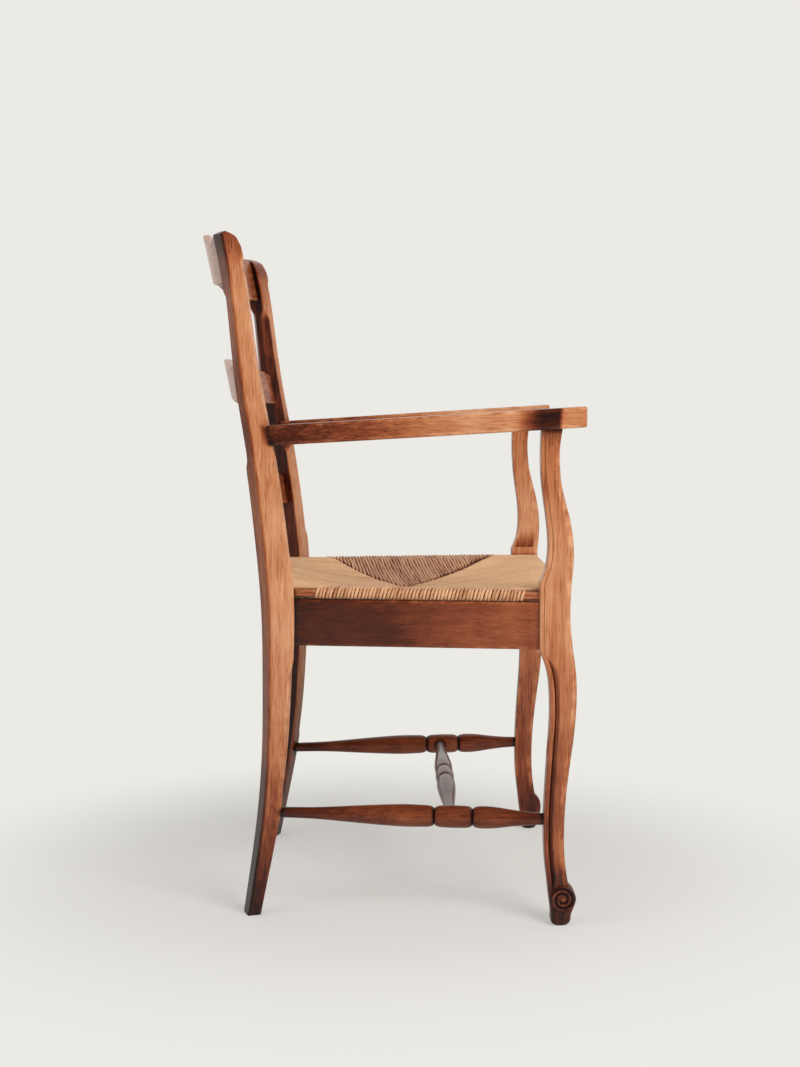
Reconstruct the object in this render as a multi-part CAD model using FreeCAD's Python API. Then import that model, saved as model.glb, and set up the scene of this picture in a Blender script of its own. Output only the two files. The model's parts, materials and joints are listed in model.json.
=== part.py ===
import FreeCAD, Part
import math
import os

# Rush-seated ladderback armchair in oak. Millimetres. X points to the front, Y to the chair's
# left, Z up. The origin lies on the floor, in the middle of the chair's outer box.
# Every piece of the left side is made first, and the right one is its mirror image.

V = FreeCAD.Vector
BIG = 900

# Back posts: height, middle of the section along X, depth of the section
POST_STATIONS = [
    (0, -190.5, 18.7),
    (60, -179.8, 21.6),
    (150, -165, 26.7),
    (250, -155.3, 31.9),
    (335, -152, 35.7),
    (420, -150.8, 38.9),
    (495, -154.4, 40.6),
    (560, -161.1, 39.9),
    (650, -172.9, 37.5),
    (750, -189.7, 33.9),
    (850, -201.7, 29.1),
    (905, -209.1, 28),
    (960, -221, 26),
]
POST_THICK = 28.5
POST_TURNS = [(0, 17.5), (250, 20.5), (400, 24.4), (500, 27.5), (600, 29), (960, 29)]
POST_SPREADS = [(0, 217), (495, 234), (960, 240)]

# Top of the post, seen along its turned face: distance in front of its axis, and height
POST_AXIS_TOP = (-220, 240)
CROWN_WASTE = 60
CROWN_WASTE_TOP = 1000
POST_CROWN = [(-15, 949.5), (-2, 955.4), (12.8, 944.6)]
POST_NOSE = [(12.8, 944.6), (20, 927.5), (27.8, 892)]

# Stopped chamfers of the posts: side to the front or rear, side outwards or inwards, span, width
POST_CHAMFERS = [
    (1, 1, (165, 365), 6.5),
    (1, 1, (500, 925), 6.5),
    (1, -1, (640, 872), 9),
    (-1, -1, (632, 878), 9),
]
CHAMFER_STOP = 14
CHAMFER_STEP = 36
CHAMFER_CLEAR = 2

# Back slats
SLAT_THICK = 11
SLAT_TENON_THICK = 7
SLAT_TENON_DEEP = 14
SLAT_SHOULDER = 4
SLAT_REACH = 246
CREST_TOP = [(SLAT_REACH, 945), (222, 954), (185, 949), (130, 951), (65, 966), (0, 971)]
CREST_BOTTOM = [(SLAT_REACH, 888), (180, 887), (60, 896), (0, 901)]
MIDDLE_TOP = [(SLAT_REACH, 757), (215, 769), (150, 777), (70, 785), (0, 787)]
MIDDLE_BOTTOM = [(SLAT_REACH, 719), (180, 720), (60, 729), (0, 732)]
LOWER_TOP = [(SLAT_REACH, 592), (215, 604), (150, 612), (70, 619), (0, 621)]
LOWER_BOTTOM = [(SLAT_REACH, 555), (120, 558), (0, 555)]

# How a slat is bent and set: rear face in its middle, sagitta, lean
CREST_BEND = (-252.7, 41, 0.205)
MIDDLE_BEND = (-227, 45, 0.2)
LOWER_BEND = (-195.4, 30, 0.18)

# Front legs, cut in one with the arm supports
LEG_OUTER = 280
LEG_THICK = 26
LEG_REAR = 210
LEG_FRONT = 252
SHOULDER_HEIGHT = 477
SUPPORT_TOP = 686
APRON_FOOT = 385
BLOCK_PROUD = 3
BLOCK_TOP = 480
SCROLL_X = 244
SCROLL_Z = 38
SCROLL_RADIUS = 18
SCROLL_PROUD = 4.5
SCROLL_GROOVE_DEEP = 1.8
SCROLL_GROOVE_WIDE = 2.2
SCROLL_PITCH = 6.0
SCROLL_RIM = 3.5
SCROLL_EYE = 6
BEAD_WIDE = 5.5
BEAD_GROOVE_WIDE = 2.6
BEAD_GROOVE_DEEP = 2
SUPPORT_TENON = (217, 233, 260, 274, 704)

# Arms
ARM_THICK = 28
ARM_BACK_TOP = 691
ARM_RISE = 0.0605
ARM_BACK_X = -170
ARM_FRONT_X = 272
ARM_TENON_START = (-178, 222)
ARM_TENON_END = (-150, 228)
ARM_TENON_THICK = 12
ARM_TENON_LOW = 670
ARM_TENON_HIGH = 684

# Boards and rails of the seat
APRON_TOP = 450
APRON_THICK = 16
APRON_TENON_LOW = 393
APRON_TENON_HIGH = 442
APRON_TENON_THICK = 9
SIDE_BACK_X = -128
SIDE_BACK_Y = 232
SIDE_FRONT_Y = 274
FRONT_APRON_X = 230
FRONT_APRON_LOW = [(254, 378), (225, 390), (150, 402), (75, 397), (0, 386)]
BACK_APRON_X = -166
RAIL_LOW = 454
RAIL_HIGH = 463
RAIL_WIDE = 30
RAIL_INSET = 2
RAIL_TENON_WIDE = 18
RAIL_TENON_INSET = 5
BACK_TENON_INSET = 3
BACK_TENON_THICK = 9
BACK_RAIL_TENON = (2, 16)
TENON_DEEP = 14

# Rush seat
CORD = 4
ROLL_TOP = RAIL_HIGH + CORD
ROLL_LOW = RAIL_LOW - CORD
SEAT_DROP = 25
MIDDLE_X = 30
WRAP_BACK = -99
WRAP_FRONT = 189
FRONT_ROLL_HALF = 250
BACK_ROLL_HALF = 216
BARE_RAIL = (-140, 225)

# Turned stretchers. Profiles are shares of the length and radii.
STRETCHER_Z = 147
STRETCHER_BACK = (-148, 223.5)
STRETCHER_FRONT = (218, 265.2)
CROSS_X = 90
CROSS_INSET = 12
SIDE_PROFILE = [(0, 7.4), (0.15, 8.6), (0.44, 15.6), (0.574, 15.6), (0.589, 11), (0.604, 15.6), (0.718, 15.6),
                (0.733, 11.2), (0.748, 15.2), (0.81, 15.2), (1, 8.2)]
CROSS_PROFILE = [(0, 7.2), (0.32, 13.6), (0.42, 13.6), (0.436, 10.4), (0.452, 13.9), (0.548, 13.9),
                 (0.564, 10.4), (0.58, 13.6), (0.68, 13.6), (1, 7.2)]
CROSS_TENON_DEEP = 8


def line(start, end):
    return Part.LineSegment(start, end).toShape()


def arc(start, middle, end):
    return Part.Arc(start, middle, end).toShape()


def arcs_through(points):
    """A smooth chain of arcs through the points, with two arcs for each step."""
    steps = [b - a for a, b in zip(points, points[1:])]
    ways = []
    for before, after in zip(steps, steps[1:]):
        way = before * (after.Length / before.Length) + after * (before.Length / after.Length)
        ways.append(way.normalize())

    def end_way(step, way):
        unit = V(step).normalize()
        return unit * (2 * unit.dot(way)) - way

    ways = [end_way(steps[0], ways[0])] + ways + [end_way(steps[-1], ways[-1])]
    edges = []
    for a, b, step, out, into in zip(points, points[1:], steps, ways, ways[1:]):
        spread, along = 2 * (1 - out.dot(into)), step.dot(out + into)
        if spread > 1e-6:
            arm = (math.sqrt(along ** 2 + spread * step.dot(step)) - along) / spread
        else:
            arm = step.dot(step) / (2 * along)
        first, second = a + out * arm, b - into * arm
        joint = (first + second) / 2
        for start, control, end in ((a, first, joint), (joint, second, b)):
            chord_middle = (start + end) / 2
            weight = (end - start).Length / (2 * arm)
            if weight > 1 - 1e-7:
                edges.append(line(start, end))
            else:
                edges.append(arc(start, (chord_middle + control * weight) / (1 + weight), end))
    return edges


def polygon(points):
    return Part.makePolygon(points + points[:1])


def plan_prism(points, low, high):
    """A straight prism over a polygon given in plan."""
    return Part.Face(polygon([V(x, y, low) for x, y in points])).extrude(V(0, 0, high - low))


def mirrored(shape):
    """The same piece on the chair's right side."""
    return shape.mirror(V(0, 0, 0), V(0, 1, 0))


def box_between(low, high):
    size = V(*high) - V(*low)
    return Part.makeBox(size.x, size.y, size.z, V(*low))


def between(table, place):
    """The value of a table of (place, value) at a place, straight between its points."""
    for (low, first), (high, second) in zip(table, table[1:]):
        if place <= high:
            return first + (second - first) * (place - low) / (high - low)
    return table[-1][1]


# Back posts

def smooth_through(points):
    """A smooth function through (place, value) points."""
    curve = Part.BSplineCurve()
    curve.interpolate([V(place, value, 0) for place, value in points])
    return lambda place: curve.value(curve.parameter(V(place, between(points, place), 0))).y


def post_frame(z, middle):
    """The centre of the post's section, and its turned directions to the front and outwards."""
    turn = math.radians(between(POST_TURNS, z))
    front = V(math.cos(turn), -math.sin(turn), 0)
    outward = V(math.sin(turn), math.cos(turn), 0)
    return V(middle, between(POST_SPREADS, z), z), front, outward


def post_section(z, middle, deep):
    """The turned rectangle of the post at one height."""
    centre, front, outward = post_frame(z, middle)
    u, v = front * (deep / 2), outward * (POST_THICK / 2)
    return polygon([centre + u + v, centre - u + v, centre - u - v, centre + u - v])


def post_chamfer(front_side, outer_side, span, width):
    """The waste of one stopped chamfer, a wedge that runs along an edge of the post."""
    middle_at = smooth_through([(z, x) for z, x, deep in POST_STATIONS])
    deep_at = smooth_through([(z, deep) for z, x, deep in POST_STATIONS])
    low, high = span
    inside = high - low - 2 * CHAMFER_STOP
    count = math.ceil(inside / CHAMFER_STEP)
    levels = [low] + [low + CHAMFER_STOP + inside * k / count for k in range(count + 1)] + [high]
    wedges = []
    for z in levels:
        cut = -0.5 if z in span else width
        centre, front, outward = post_frame(z, middle_at(z))
        u, v = front * front_side, outward * outer_side
        edge = centre + u * (deep_at(z) / 2) + v * (POST_THICK / 2)
        wedges.append(polygon([edge + (u + v) * CHAMFER_CLEAR,
                               edge + v * CHAMFER_CLEAR - u * (cut + CHAMFER_CLEAR),
                               edge + u * CHAMFER_CLEAR - v * (cut + CHAMFER_CLEAR)]))
    return Part.makeLoft(wedges, True, True)


def post_blank():
    """The shaped post with its crown and its chamfers, before its mortises."""
    blank = Part.makeLoft([post_section(*station) for station in POST_STATIONS], True, False)
    centre, front, outward = post_frame(POST_STATIONS[-1][0], POST_AXIS_TOP[0])
    axis = V(*POST_AXIS_TOP, 0) - outward * CROWN_WASTE

    def at(point):
        return axis + front * point[0] + V(0, 0, point[1])

    rear, tip = at(POST_CROWN[0]), at(POST_NOSE[-1])
    above = [at((CROWN_WASTE, POST_NOSE[-1][1])), at((CROWN_WASTE, CROWN_WASTE_TOP)),
             at((-CROWN_WASTE, CROWN_WASTE_TOP)), at((-CROWN_WASTE, POST_CROWN[0][1]))]
    edges = [arc(*[at(point) for point in POST_CROWN]), arc(*[at(point) for point in POST_NOSE])]
    edges += [line(a, b) for a, b in zip([tip] + above, above + [rear])]
    blank = blank.cut(Part.Face(Part.Wire(edges)).extrude(outward * (2 * CROWN_WASTE)))
    for chamfer in POST_CHAMFERS:
        blank = blank.cut(post_chamfer(*chamfer))
    return blank


# Back slats

def bent_board(rear_x, sagitta, lean, low, high, thick):
    """A board bent to an arc in plan and leaned back with the posts."""
    radius = (SLAT_REACH ** 2 + sagitta ** 2) / (2 * sagitta)
    middle = rear_x + radius
    inset = (SLAT_THICK - thick) / 2
    rear = radius - inset
    front = rear - thick
    angle = math.asin(SLAT_REACH / radius)

    def at(r, share):
        return V(middle - r * math.cos(share * angle), r * math.sin(share * angle), low)

    edges = [arc(at(rear, -1), at(rear, 0), at(rear, 1)),
             line(at(rear, 1), at(front, 1)),
             arc(at(front, 1), at(front, 0), at(front, -1)),
             line(at(front, -1), at(rear, -1))]
    return Part.Face(Part.Wire(edges)).extrude(V(-lean * (high - low), 0, high - low))


def slat_outline(top, bottom, shrink):
    """The front outline of a slat, as a block across the whole depth."""
    def row(points, shift):
        right = [V(-BIG / 2, -y, z + shift) for y, z in points]
        left = [V(-BIG / 2, y, z + shift) for y, z in reversed(points[:-1])]
        return right + left
    upper = row(top, -shrink)
    lower = list(reversed(row(bottom, shrink)))
    edges = arcs_through(upper) + [line(upper[-1], lower[0])]
    edges += arcs_through(lower) + [line(lower[-1], upper[0])]
    return Part.Face(Part.Wire(edges)).extrude(V(BIG, 0, 0))


def slat(rear_x, sagitta, lean, top, bottom, posts):
    """A bowed slat with a thinner tenon at each end."""
    low = min(z for y, z in bottom) - 10
    high = max(z for y, z in top) + 10
    board = bent_board(rear_x, sagitta, lean, low, high, SLAT_THICK)
    board = board.common(slat_outline(top, bottom, 0))
    tongue = bent_board(rear_x, sagitta, lean, low, high, SLAT_TENON_THICK)
    tongue = tongue.common(slat_outline(top, bottom, SLAT_SHOULDER))
    reach = between(POST_SPREADS, (low + high) / 2) - POST_THICK / 2 + SLAT_TENON_DEEP
    tongue = tongue.common(box_between((-BIG, -reach, 0), (BIG, reach, 2 * BIG)))
    for post in posts:
        board = board.cut(post)
    board = max(board.Solids, key=lambda solid: solid.Volume)
    return board.fuse(tongue).removeSplitter()


# Front legs

def leg_outline(y):
    """The side outline of the front leg with its arm support and scroll foot, and its rear edge."""
    support_rear = [V(LEG_REAR, y, SHOULDER_HEIGHT), V(216, y, 491), V(220.5, y, 512), V(221, y, 538),
                    V(214, y, 596), V(210, y, 655), V(211, y, SUPPORT_TOP)]
    front = [V(240, y, SUPPORT_TOP), V(236.5, y, 662), V(236.5, y, 638), V(240, y, 607), V(249, y, 572),
             V(256.5, y, 508), V(254, y, 478), V(LEG_FRONT, y, 450), V(LEG_FRONT, y, 425),
             V(255.5, y, 390), V(262, y, 320), V(255, y, 237), V(246.5, y, 150), V(246, y, 118), V(252, y, 58)]
    leg_rear = [V(228, y, 9), V(226, y, 32), V(219.5, y, 88), V(217.5, y, 125), V(220, y, 205),
                V(225, y, 290), V(224.5, y, 325), V(220, y, 358), V(LEG_REAR, y, APRON_FOOT)]
    toe = [V(252, y, 58), V(262, y, 39), V(256, y, 12)]
    edges = arcs_through(support_rear) + [line(support_rear[-1], front[0])] + arcs_through(front)
    edges += [arc(*toe), arc(toe[-1], V(254, y, 3.5), V(249, y, 0)), line(V(249, y, 0), V(235, y, 0)),
              arc(V(235, y, 0), V(230, y, 2.5), leg_rear[0])]
    edges += arcs_through(leg_rear) + [line(leg_rear[-1], support_rear[0])]
    return Part.Face(Part.Wire(edges)), leg_rear


def scroll_groove(face_y):
    """A spiral channel of half circles, from the rim of the scroll towards its eye."""
    tools = []
    radius = SCROLL_RADIUS - SCROLL_RIM
    centre = SCROLL_X
    side = 1
    while radius > SCROLL_EYE:
        for z_side in (1, -1):
            outer = radius
            inner = radius - SCROLL_GROOVE_WIDE
            ring = [arc(V(centre - outer, face_y, SCROLL_Z), V(centre, face_y, SCROLL_Z + z_side * outer),
                        V(centre + outer, face_y, SCROLL_Z)),
                    line(V(centre + outer, face_y, SCROLL_Z), V(centre + inner, face_y, SCROLL_Z)),
                    arc(V(centre + inner, face_y, SCROLL_Z), V(centre, face_y, SCROLL_Z + z_side * inner),
                        V(centre - inner, face_y, SCROLL_Z)),
                    line(V(centre - inner, face_y, SCROLL_Z), V(centre - outer, face_y, SCROLL_Z))]
            tools.append(Part.Face(Part.Wire(ring)).extrude(V(0, SCROLL_GROOVE_DEEP, 0)))
            radius -= SCROLL_PITCH / 4
            centre += side * SCROLL_PITCH / 4
            side = -side
    return tools


def leg_blank():
    """The leg with its thicker block, its scroll, its spiral and the bead along its rear edge."""
    inner = LEG_OUTER - LEG_THICK
    outline, rear = leg_outline(inner)
    blank = outline.extrude(V(0, LEG_THICK, 0))
    thicker, _ = leg_outline(inner - BLOCK_PROUD)
    block = thicker.extrude(V(0, LEG_THICK, 0))
    blank = blank.fuse(block.common(box_between((0, 0, APRON_FOOT), (BIG, BIG, BLOCK_TOP))))
    scroll_inner = inner - SCROLL_PROUD + 1
    wide = LEG_OUTER + SCROLL_PROUD - scroll_inner
    scroll = Part.makeCylinder(SCROLL_RADIUS, wide, V(SCROLL_X, scroll_inner, SCROLL_Z), V(0, 1, 0))
    blank = blank.fuse(scroll)
    for tool in scroll_groove(LEG_OUTER + SCROLL_PROUD - SCROLL_GROOVE_DEEP):
        blank = blank.cut(tool)
    start = LEG_OUTER - BEAD_GROOVE_DEEP
    near = [V(p.x + BEAD_WIDE, start, p.z) for p in rear[1:]]
    far = [V(p.x + BEAD_WIDE + BEAD_GROOVE_WIDE, start, p.z) for p in reversed(rear[1:])]
    band = arcs_through(near) + [line(near[-1], far[0])] + arcs_through(far) + [line(far[-1], near[0])]
    groove = Part.Face(Part.Wire(band)).extrude(V(0, BEAD_GROOVE_DEEP + 1, 0))
    return blank.cut(groove).removeSplitter()


# Arms

def arm_top(x):
    return ARM_BACK_TOP + ARM_RISE * (x - ARM_BACK_X)


def arm_blank():
    """The flat arm: a bowed plan outline between two sloping planes."""
    outer = [V(ARM_BACK_X, 243, 0), V(-110, 259, 0), V(-30, 275, 0), V(60, 287, 0), V(150, 294, 0),
             V(225, 296, 0), V(262, 293, 0)]
    inner = [V(262, 243, 0), V(225, 240, 0), V(160, 241, 0), V(60, 240, 0), V(-30, 232, 0),
             V(-110, 219, 0), V(ARM_BACK_X, 208, 0)]
    edges = arcs_through(outer)
    edges += [arc(outer[-1], V(269, 290, 0), V(ARM_FRONT_X, 283, 0)),
              line(V(ARM_FRONT_X, 283, 0), V(ARM_FRONT_X, 253, 0)),
              arc(V(ARM_FRONT_X, 253, 0), V(269, 246, 0), inner[0])]
    edges += arcs_through(inner) + [line(inner[-1], outer[0])]
    column = Part.Face(Part.Wire(edges)).extrude(V(0, 0, BIG))
    back, front = -BIG, BIG
    corners = [V(back, 0, arm_top(back) - ARM_THICK), V(front, 0, arm_top(front) - ARM_THICK),
               V(front, 0, arm_top(front)), V(back, 0, arm_top(back))]
    slab = Part.Face(polygon(corners)).extrude(V(0, BIG, 0))
    return column.common(slab)


# Tenons, each a block that one piece keeps and the other loses

def block_along(start, end, wide, low, high):
    """A level bar from start to end in plan, with the given width and heights."""
    run = V(end[0] - start[0], end[1] - start[1], 0)
    side = V(-run.y, run.x, 0).normalize() * (wide / 2)
    a, b = V(start[0], start[1], 0), V(end[0], end[1], 0)
    corners = [a + side, b + side, b - side, a - side]
    return plan_prism([(p.x, p.y) for p in corners], low, high)


def longer(start, end, back, front):
    """The same line in plan, made longer at its two ends."""
    run = V(end[0] - start[0], end[1] - start[1], 0).normalize()
    return ((start[0] - run.x * back, start[1] - run.y * back),
            (end[0] + run.x * front, end[1] + run.y * front))


def shouldered(board, tenon, neighbours):
    """A board that stops at its neighbours, with a tenon that goes on into them."""
    for neighbour in neighbours:
        board = board.cut(neighbour)
    body = max(board.Solids, key=lambda solid: solid.Volume)
    return body.fuse(tenon).removeSplitter()


# Seat frame

def side_line(inset):
    """A line in plan beside the outer face of a side board, from the back post to the front leg."""
    return (SIDE_BACK_X, SIDE_BACK_Y - inset), (LEG_REAR, SIDE_FRONT_Y - inset)


def side_y(x, inset):
    """The distance of that line from the chair's middle plane."""
    return between([(start, y) for start, y in side_line(inset)], x)


def side_board(inset, thick, heights, tenon_thick, tenon_heights, neighbours):
    """A board or rail at the side of the seat, with its two tenons."""
    start, end = side_line(inset + thick / 2)
    board = block_along(*longer(start, end, 20, 8), thick, *heights)
    tenon = block_along(*longer(start, end, TENON_DEEP + 1, TENON_DEEP + 1), tenon_thick, *tenon_heights)
    return shouldered(board, tenon, neighbours)


def shaped_front_apron(half):
    """The front board, with a double curve along its lower edge."""
    x = FRONT_APRON_X
    low = [V(x, y, z) for y, z in FRONT_APRON_LOW] + [V(x, -y, z) for y, z in reversed(FRONT_APRON_LOW[:-1])]
    top = [V(x, low[-1].y, APRON_TOP), V(x, low[0].y, APRON_TOP)]
    edges = arcs_through(low) + [line(low[-1], top[0]), line(top[0], top[1]), line(top[1], low[0])]
    board = Part.Face(Part.Wire(edges)).extrude(V(APRON_THICK, 0, 0))
    board = board.common(box_between((0, -half, 0), (BIG, half, BIG)))
    first = x + (APRON_THICK - APRON_TENON_THICK) / 2
    tenon = box_between((first, -half - TENON_DEEP, APRON_TENON_LOW),
                        (first + APRON_TENON_THICK, half + TENON_DEEP, APRON_TENON_HIGH))
    return board.fuse(tenon).removeSplitter()


# Turned stretchers

def turned(start, end, profile, deep):
    """A turning on the line from start to end. Its ends run on as round tenons."""
    length = (end - start).Length
    shape = [(share * length, radius) for share, radius in profile]
    first, last = shape[0], shape[-1]
    shape = [(first[0] - deep, first[1])] + shape + [(last[0] + deep, last[1])]
    outline = [V(x, radius, 0) for x, radius in shape]
    wire = polygon(outline + [V(outline[-1].x, 0, 0), V(outline[0].x, 0, 0)])
    body = Part.Face(wire).revolve(V(0, 0, 0), V(1, 0, 0), 360)
    body.Placement = FreeCAD.Placement(start, FreeCAD.Rotation(V(1, 0, 0), end - start))
    return body


# Rush fields

def field_profile(width):
    """Section of a field across its rail: the roll round the rail, then the dished middle.

    Local X runs from the outer edge of the roll towards the middle of the seat."""
    roll = (ROLL_TOP - ROLL_LOW) / 2
    middle = (ROLL_TOP + ROLL_LOW) / 2
    under = V(0, 0, ROLL_LOW - ROLL_TOP)

    def at(share, fall):
        return V(share * width, 0, ROLL_TOP - fall * SEAT_DROP)

    brow = [V(roll, 0, ROLL_TOP), at(0.22, 0.12), at(0.4, 0.47)]
    hollow = [at(0.4, 0.47), at(0.68, 0.83), at(1, 1)]
    edges = [arc(V(roll, 0, ROLL_LOW), V(0, 0, middle), V(roll, 0, ROLL_TOP)), arc(*brow), arc(*hollow),
             line(hollow[-1], hollow[-1] + under), arc(*[point + under for point in reversed(hollow)]),
             arc(*[point + under for point in reversed(brow)])]
    return Part.Wire(edges)


def field(start, end, plan):
    """A field woven over the rail whose outer edge runs from start to end in plan."""
    run = V(end[0] - start[0], end[1] - start[1], 0)
    inward = V(-run.y, run.x, 0).normalize()
    width = (V(MIDDLE_X, 0, 0) - V(start[0], start[1], 0)).dot(inward)
    face = Part.Face(field_profile(width))
    spare = 60
    run.normalize()
    face.Placement = FreeCAD.Placement(V(start[0], start[1], 0) - run * spare,
                                       FreeCAD.Rotation(V(1, 0, 0), inward))
    solid = face.extrude(run * (math.dist(start, end) + 2 * spare))
    return solid.common(plan_prism(plan, ROLL_LOW - 60, ROLL_TOP + 30))


def rush_fields(rail, rail_front, rail_back, leg, post):
    """The four woven fields, mitred from the seat's middle to the ends of the side rolls."""
    edge = RAIL_INSET - CORD
    wrap_back = (WRAP_BACK, side_y(WRAP_BACK, edge))
    wrap_front = (WRAP_FRONT, side_y(WRAP_FRONT, edge))
    mirror_back = (wrap_back[0], -wrap_back[1])
    mirror_front = (wrap_front[0], -wrap_front[1])
    middle = (MIDDLE_X, 0)
    front_edge, front_half = LEG_FRONT + CORD, FRONT_ROLL_HALF
    back_edge, back_half = BACK_APRON_X - CORD, BACK_ROLL_HALF
    left = field(wrap_front, wrap_back, [middle, wrap_front, wrap_back]).cut(rail)
    front = field((front_edge, -front_half), (front_edge, front_half),
                  [middle, mirror_front, (WRAP_FRONT, -front_half), (270, -front_half), (270, front_half),
                   (WRAP_FRONT, front_half), wrap_front])
    back = field((back_edge, back_half), (back_edge, -back_half),
                 [middle, wrap_back, (-180, back_half), (-180, -back_half), mirror_back])
    bare_edges = [(x, side_y(x, edge)) for x in BARE_RAIL]
    bare_inner = [(x, y - RAIL_WIDE) for x, y in reversed(bare_edges)]
    bare = plan_prism(bare_edges + bare_inner, APRON_FOOT, RAIL_HIGH)
    for solid in (bare, mirrored(bare), rail_front, leg, mirrored(leg)):
        front = front.cut(solid)
    front = max(front.Solids, key=lambda solid: solid.Volume)
    for solid in (bare, mirrored(bare), rail_back, post, mirrored(post)):
        back = back.cut(solid)
    back = max(back.Solids, key=lambda solid: solid.Volume)
    return {"rush_left": left, "rush_right": mirrored(left), "rush_front": front, "rush_back": back}


def main():
    post = post_blank()
    leg = leg_blank()
    post_pair = [post, mirrored(post)]
    slats = {
        "slat_crest": slat(*CREST_BEND, CREST_TOP, CREST_BOTTOM, post_pair),
        "slat_middle": slat(*MIDDLE_BEND, MIDDLE_TOP, MIDDLE_BOTTOM, post_pair),
        "slat_lower": slat(*LOWER_BEND, LOWER_TOP, LOWER_BOTTOM, post_pair),
    }

    arm_tenon = block_along(ARM_TENON_START, ARM_TENON_END, ARM_TENON_THICK, ARM_TENON_LOW, ARM_TENON_HIGH)
    arm = shouldered(arm_blank(), arm_tenon, [post])
    x0, x1, y0, y1, top = SUPPORT_TENON
    support_tenon = box_between((x0, y0, SUPPORT_TOP - 6), (x1, y1, top))
    leg = leg.cut(arm).fuse(support_tenon).removeSplitter()
    arm = arm.cut(support_tenon)

    side_neighbours = [post, leg]
    apron = side_board(0, APRON_THICK, (APRON_FOOT, APRON_TOP), APRON_TENON_THICK,
                       (APRON_TENON_LOW, APRON_TENON_HIGH), side_neighbours)
    rail_heights = (RAIL_LOW, RAIL_HIGH)
    rail = side_board(RAIL_INSET, RAIL_WIDE, rail_heights, RAIL_TENON_WIDE, rail_heights, side_neighbours)

    half = LEG_OUTER - LEG_THICK - BLOCK_PROUD
    apron_front = shaped_front_apron(half)
    rail_front = box_between((LEG_FRONT - RAIL_WIDE, -half, RAIL_LOW), (LEG_FRONT, half, RAIL_HIGH))
    tongue_front, tongue_half = LEG_FRONT - RAIL_TENON_INSET, half + TENON_DEEP
    tongue = box_between((tongue_front - RAIL_TENON_WIDE, -tongue_half, RAIL_LOW),
                         (tongue_front, tongue_half, RAIL_HIGH))
    rail_front = rail_front.fuse(tongue).removeSplitter()

    x, reach = BACK_APRON_X, between(POST_SPREADS, APRON_TOP)
    tenon_x = x + BACK_TENON_INSET
    apron_back = shouldered(box_between((x, -reach, APRON_FOOT), (x + APRON_THICK, reach, APRON_TOP)),
                            box_between((tenon_x, -reach, APRON_TENON_LOW),
                                        (tenon_x + BACK_TENON_THICK, reach, APRON_TENON_HIGH)), post_pair)
    first, last = BACK_RAIL_TENON
    rail_back = shouldered(box_between((x, -reach, RAIL_LOW), (x + RAIL_WIDE, reach, RAIL_HIGH)),
                           box_between((x + first, -reach, RAIL_LOW), (x + last, reach, RAIL_HIGH)), post_pair)

    post_point = V(*STRETCHER_BACK, STRETCHER_Z)
    leg_point = V(*STRETCHER_FRONT, STRETCHER_Z)
    stretcher = turned(post_point, leg_point, SIDE_PROFILE, TENON_DEEP)
    cross_end = between([STRETCHER_BACK, STRETCHER_FRONT], CROSS_X) - CROSS_INSET
    cross = turned(V(CROSS_X, -cross_end, STRETCHER_Z), V(CROSS_X, cross_end, STRETCHER_Z),
                   CROSS_PROFILE, CROSS_TENON_DEEP)
    stretcher = stretcher.cut(cross)

    for piece in list(slats.values()) + [arm, apron, rail, stretcher, apron_back, rail_back]:
        post = post.cut(piece)
    for piece in (apron, rail, stretcher, apron_front, rail_front):
        leg = leg.cut(piece)

    nodes = {
        "back_post_left": post, "back_post_right": mirrored(post),
        "front_leg_left": leg, "front_leg_right": mirrored(leg),
        "arm_left": arm, "arm_right": mirrored(arm),
        "apron_left": apron, "apron_right": mirrored(apron),
        "apron_front": apron_front, "apron_back": apron_back,
        "seat_rail_left": rail, "seat_rail_right": mirrored(rail),
        "seat_rail_front": rail_front, "seat_rail_back": rail_back,
        "stretcher_left": stretcher, "stretcher_right": mirrored(stretcher),
        "stretcher_cross": cross,
    }
    nodes.update(slats)
    nodes.update(rush_fields(rail, rail_front, rail_back, leg, post))
    os.makedirs("parts", exist_ok=True)
    for name, shape in nodes.items():
        print(name, shape.isValid(), len(shape.Solids), round(shape.Volume / 1000, 1), "cm3")
        shape.exportStep("parts/" + name + ".step")


main()
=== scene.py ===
import json
import math
import random
from collections import namedtuple
from functools import partial

import bmesh
import bpy
import numpy as np
from bpy.props import FloatProperty, FloatVectorProperty, PointerProperty
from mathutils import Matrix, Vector
from mathutils.bvhtree import BVHTree

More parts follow.
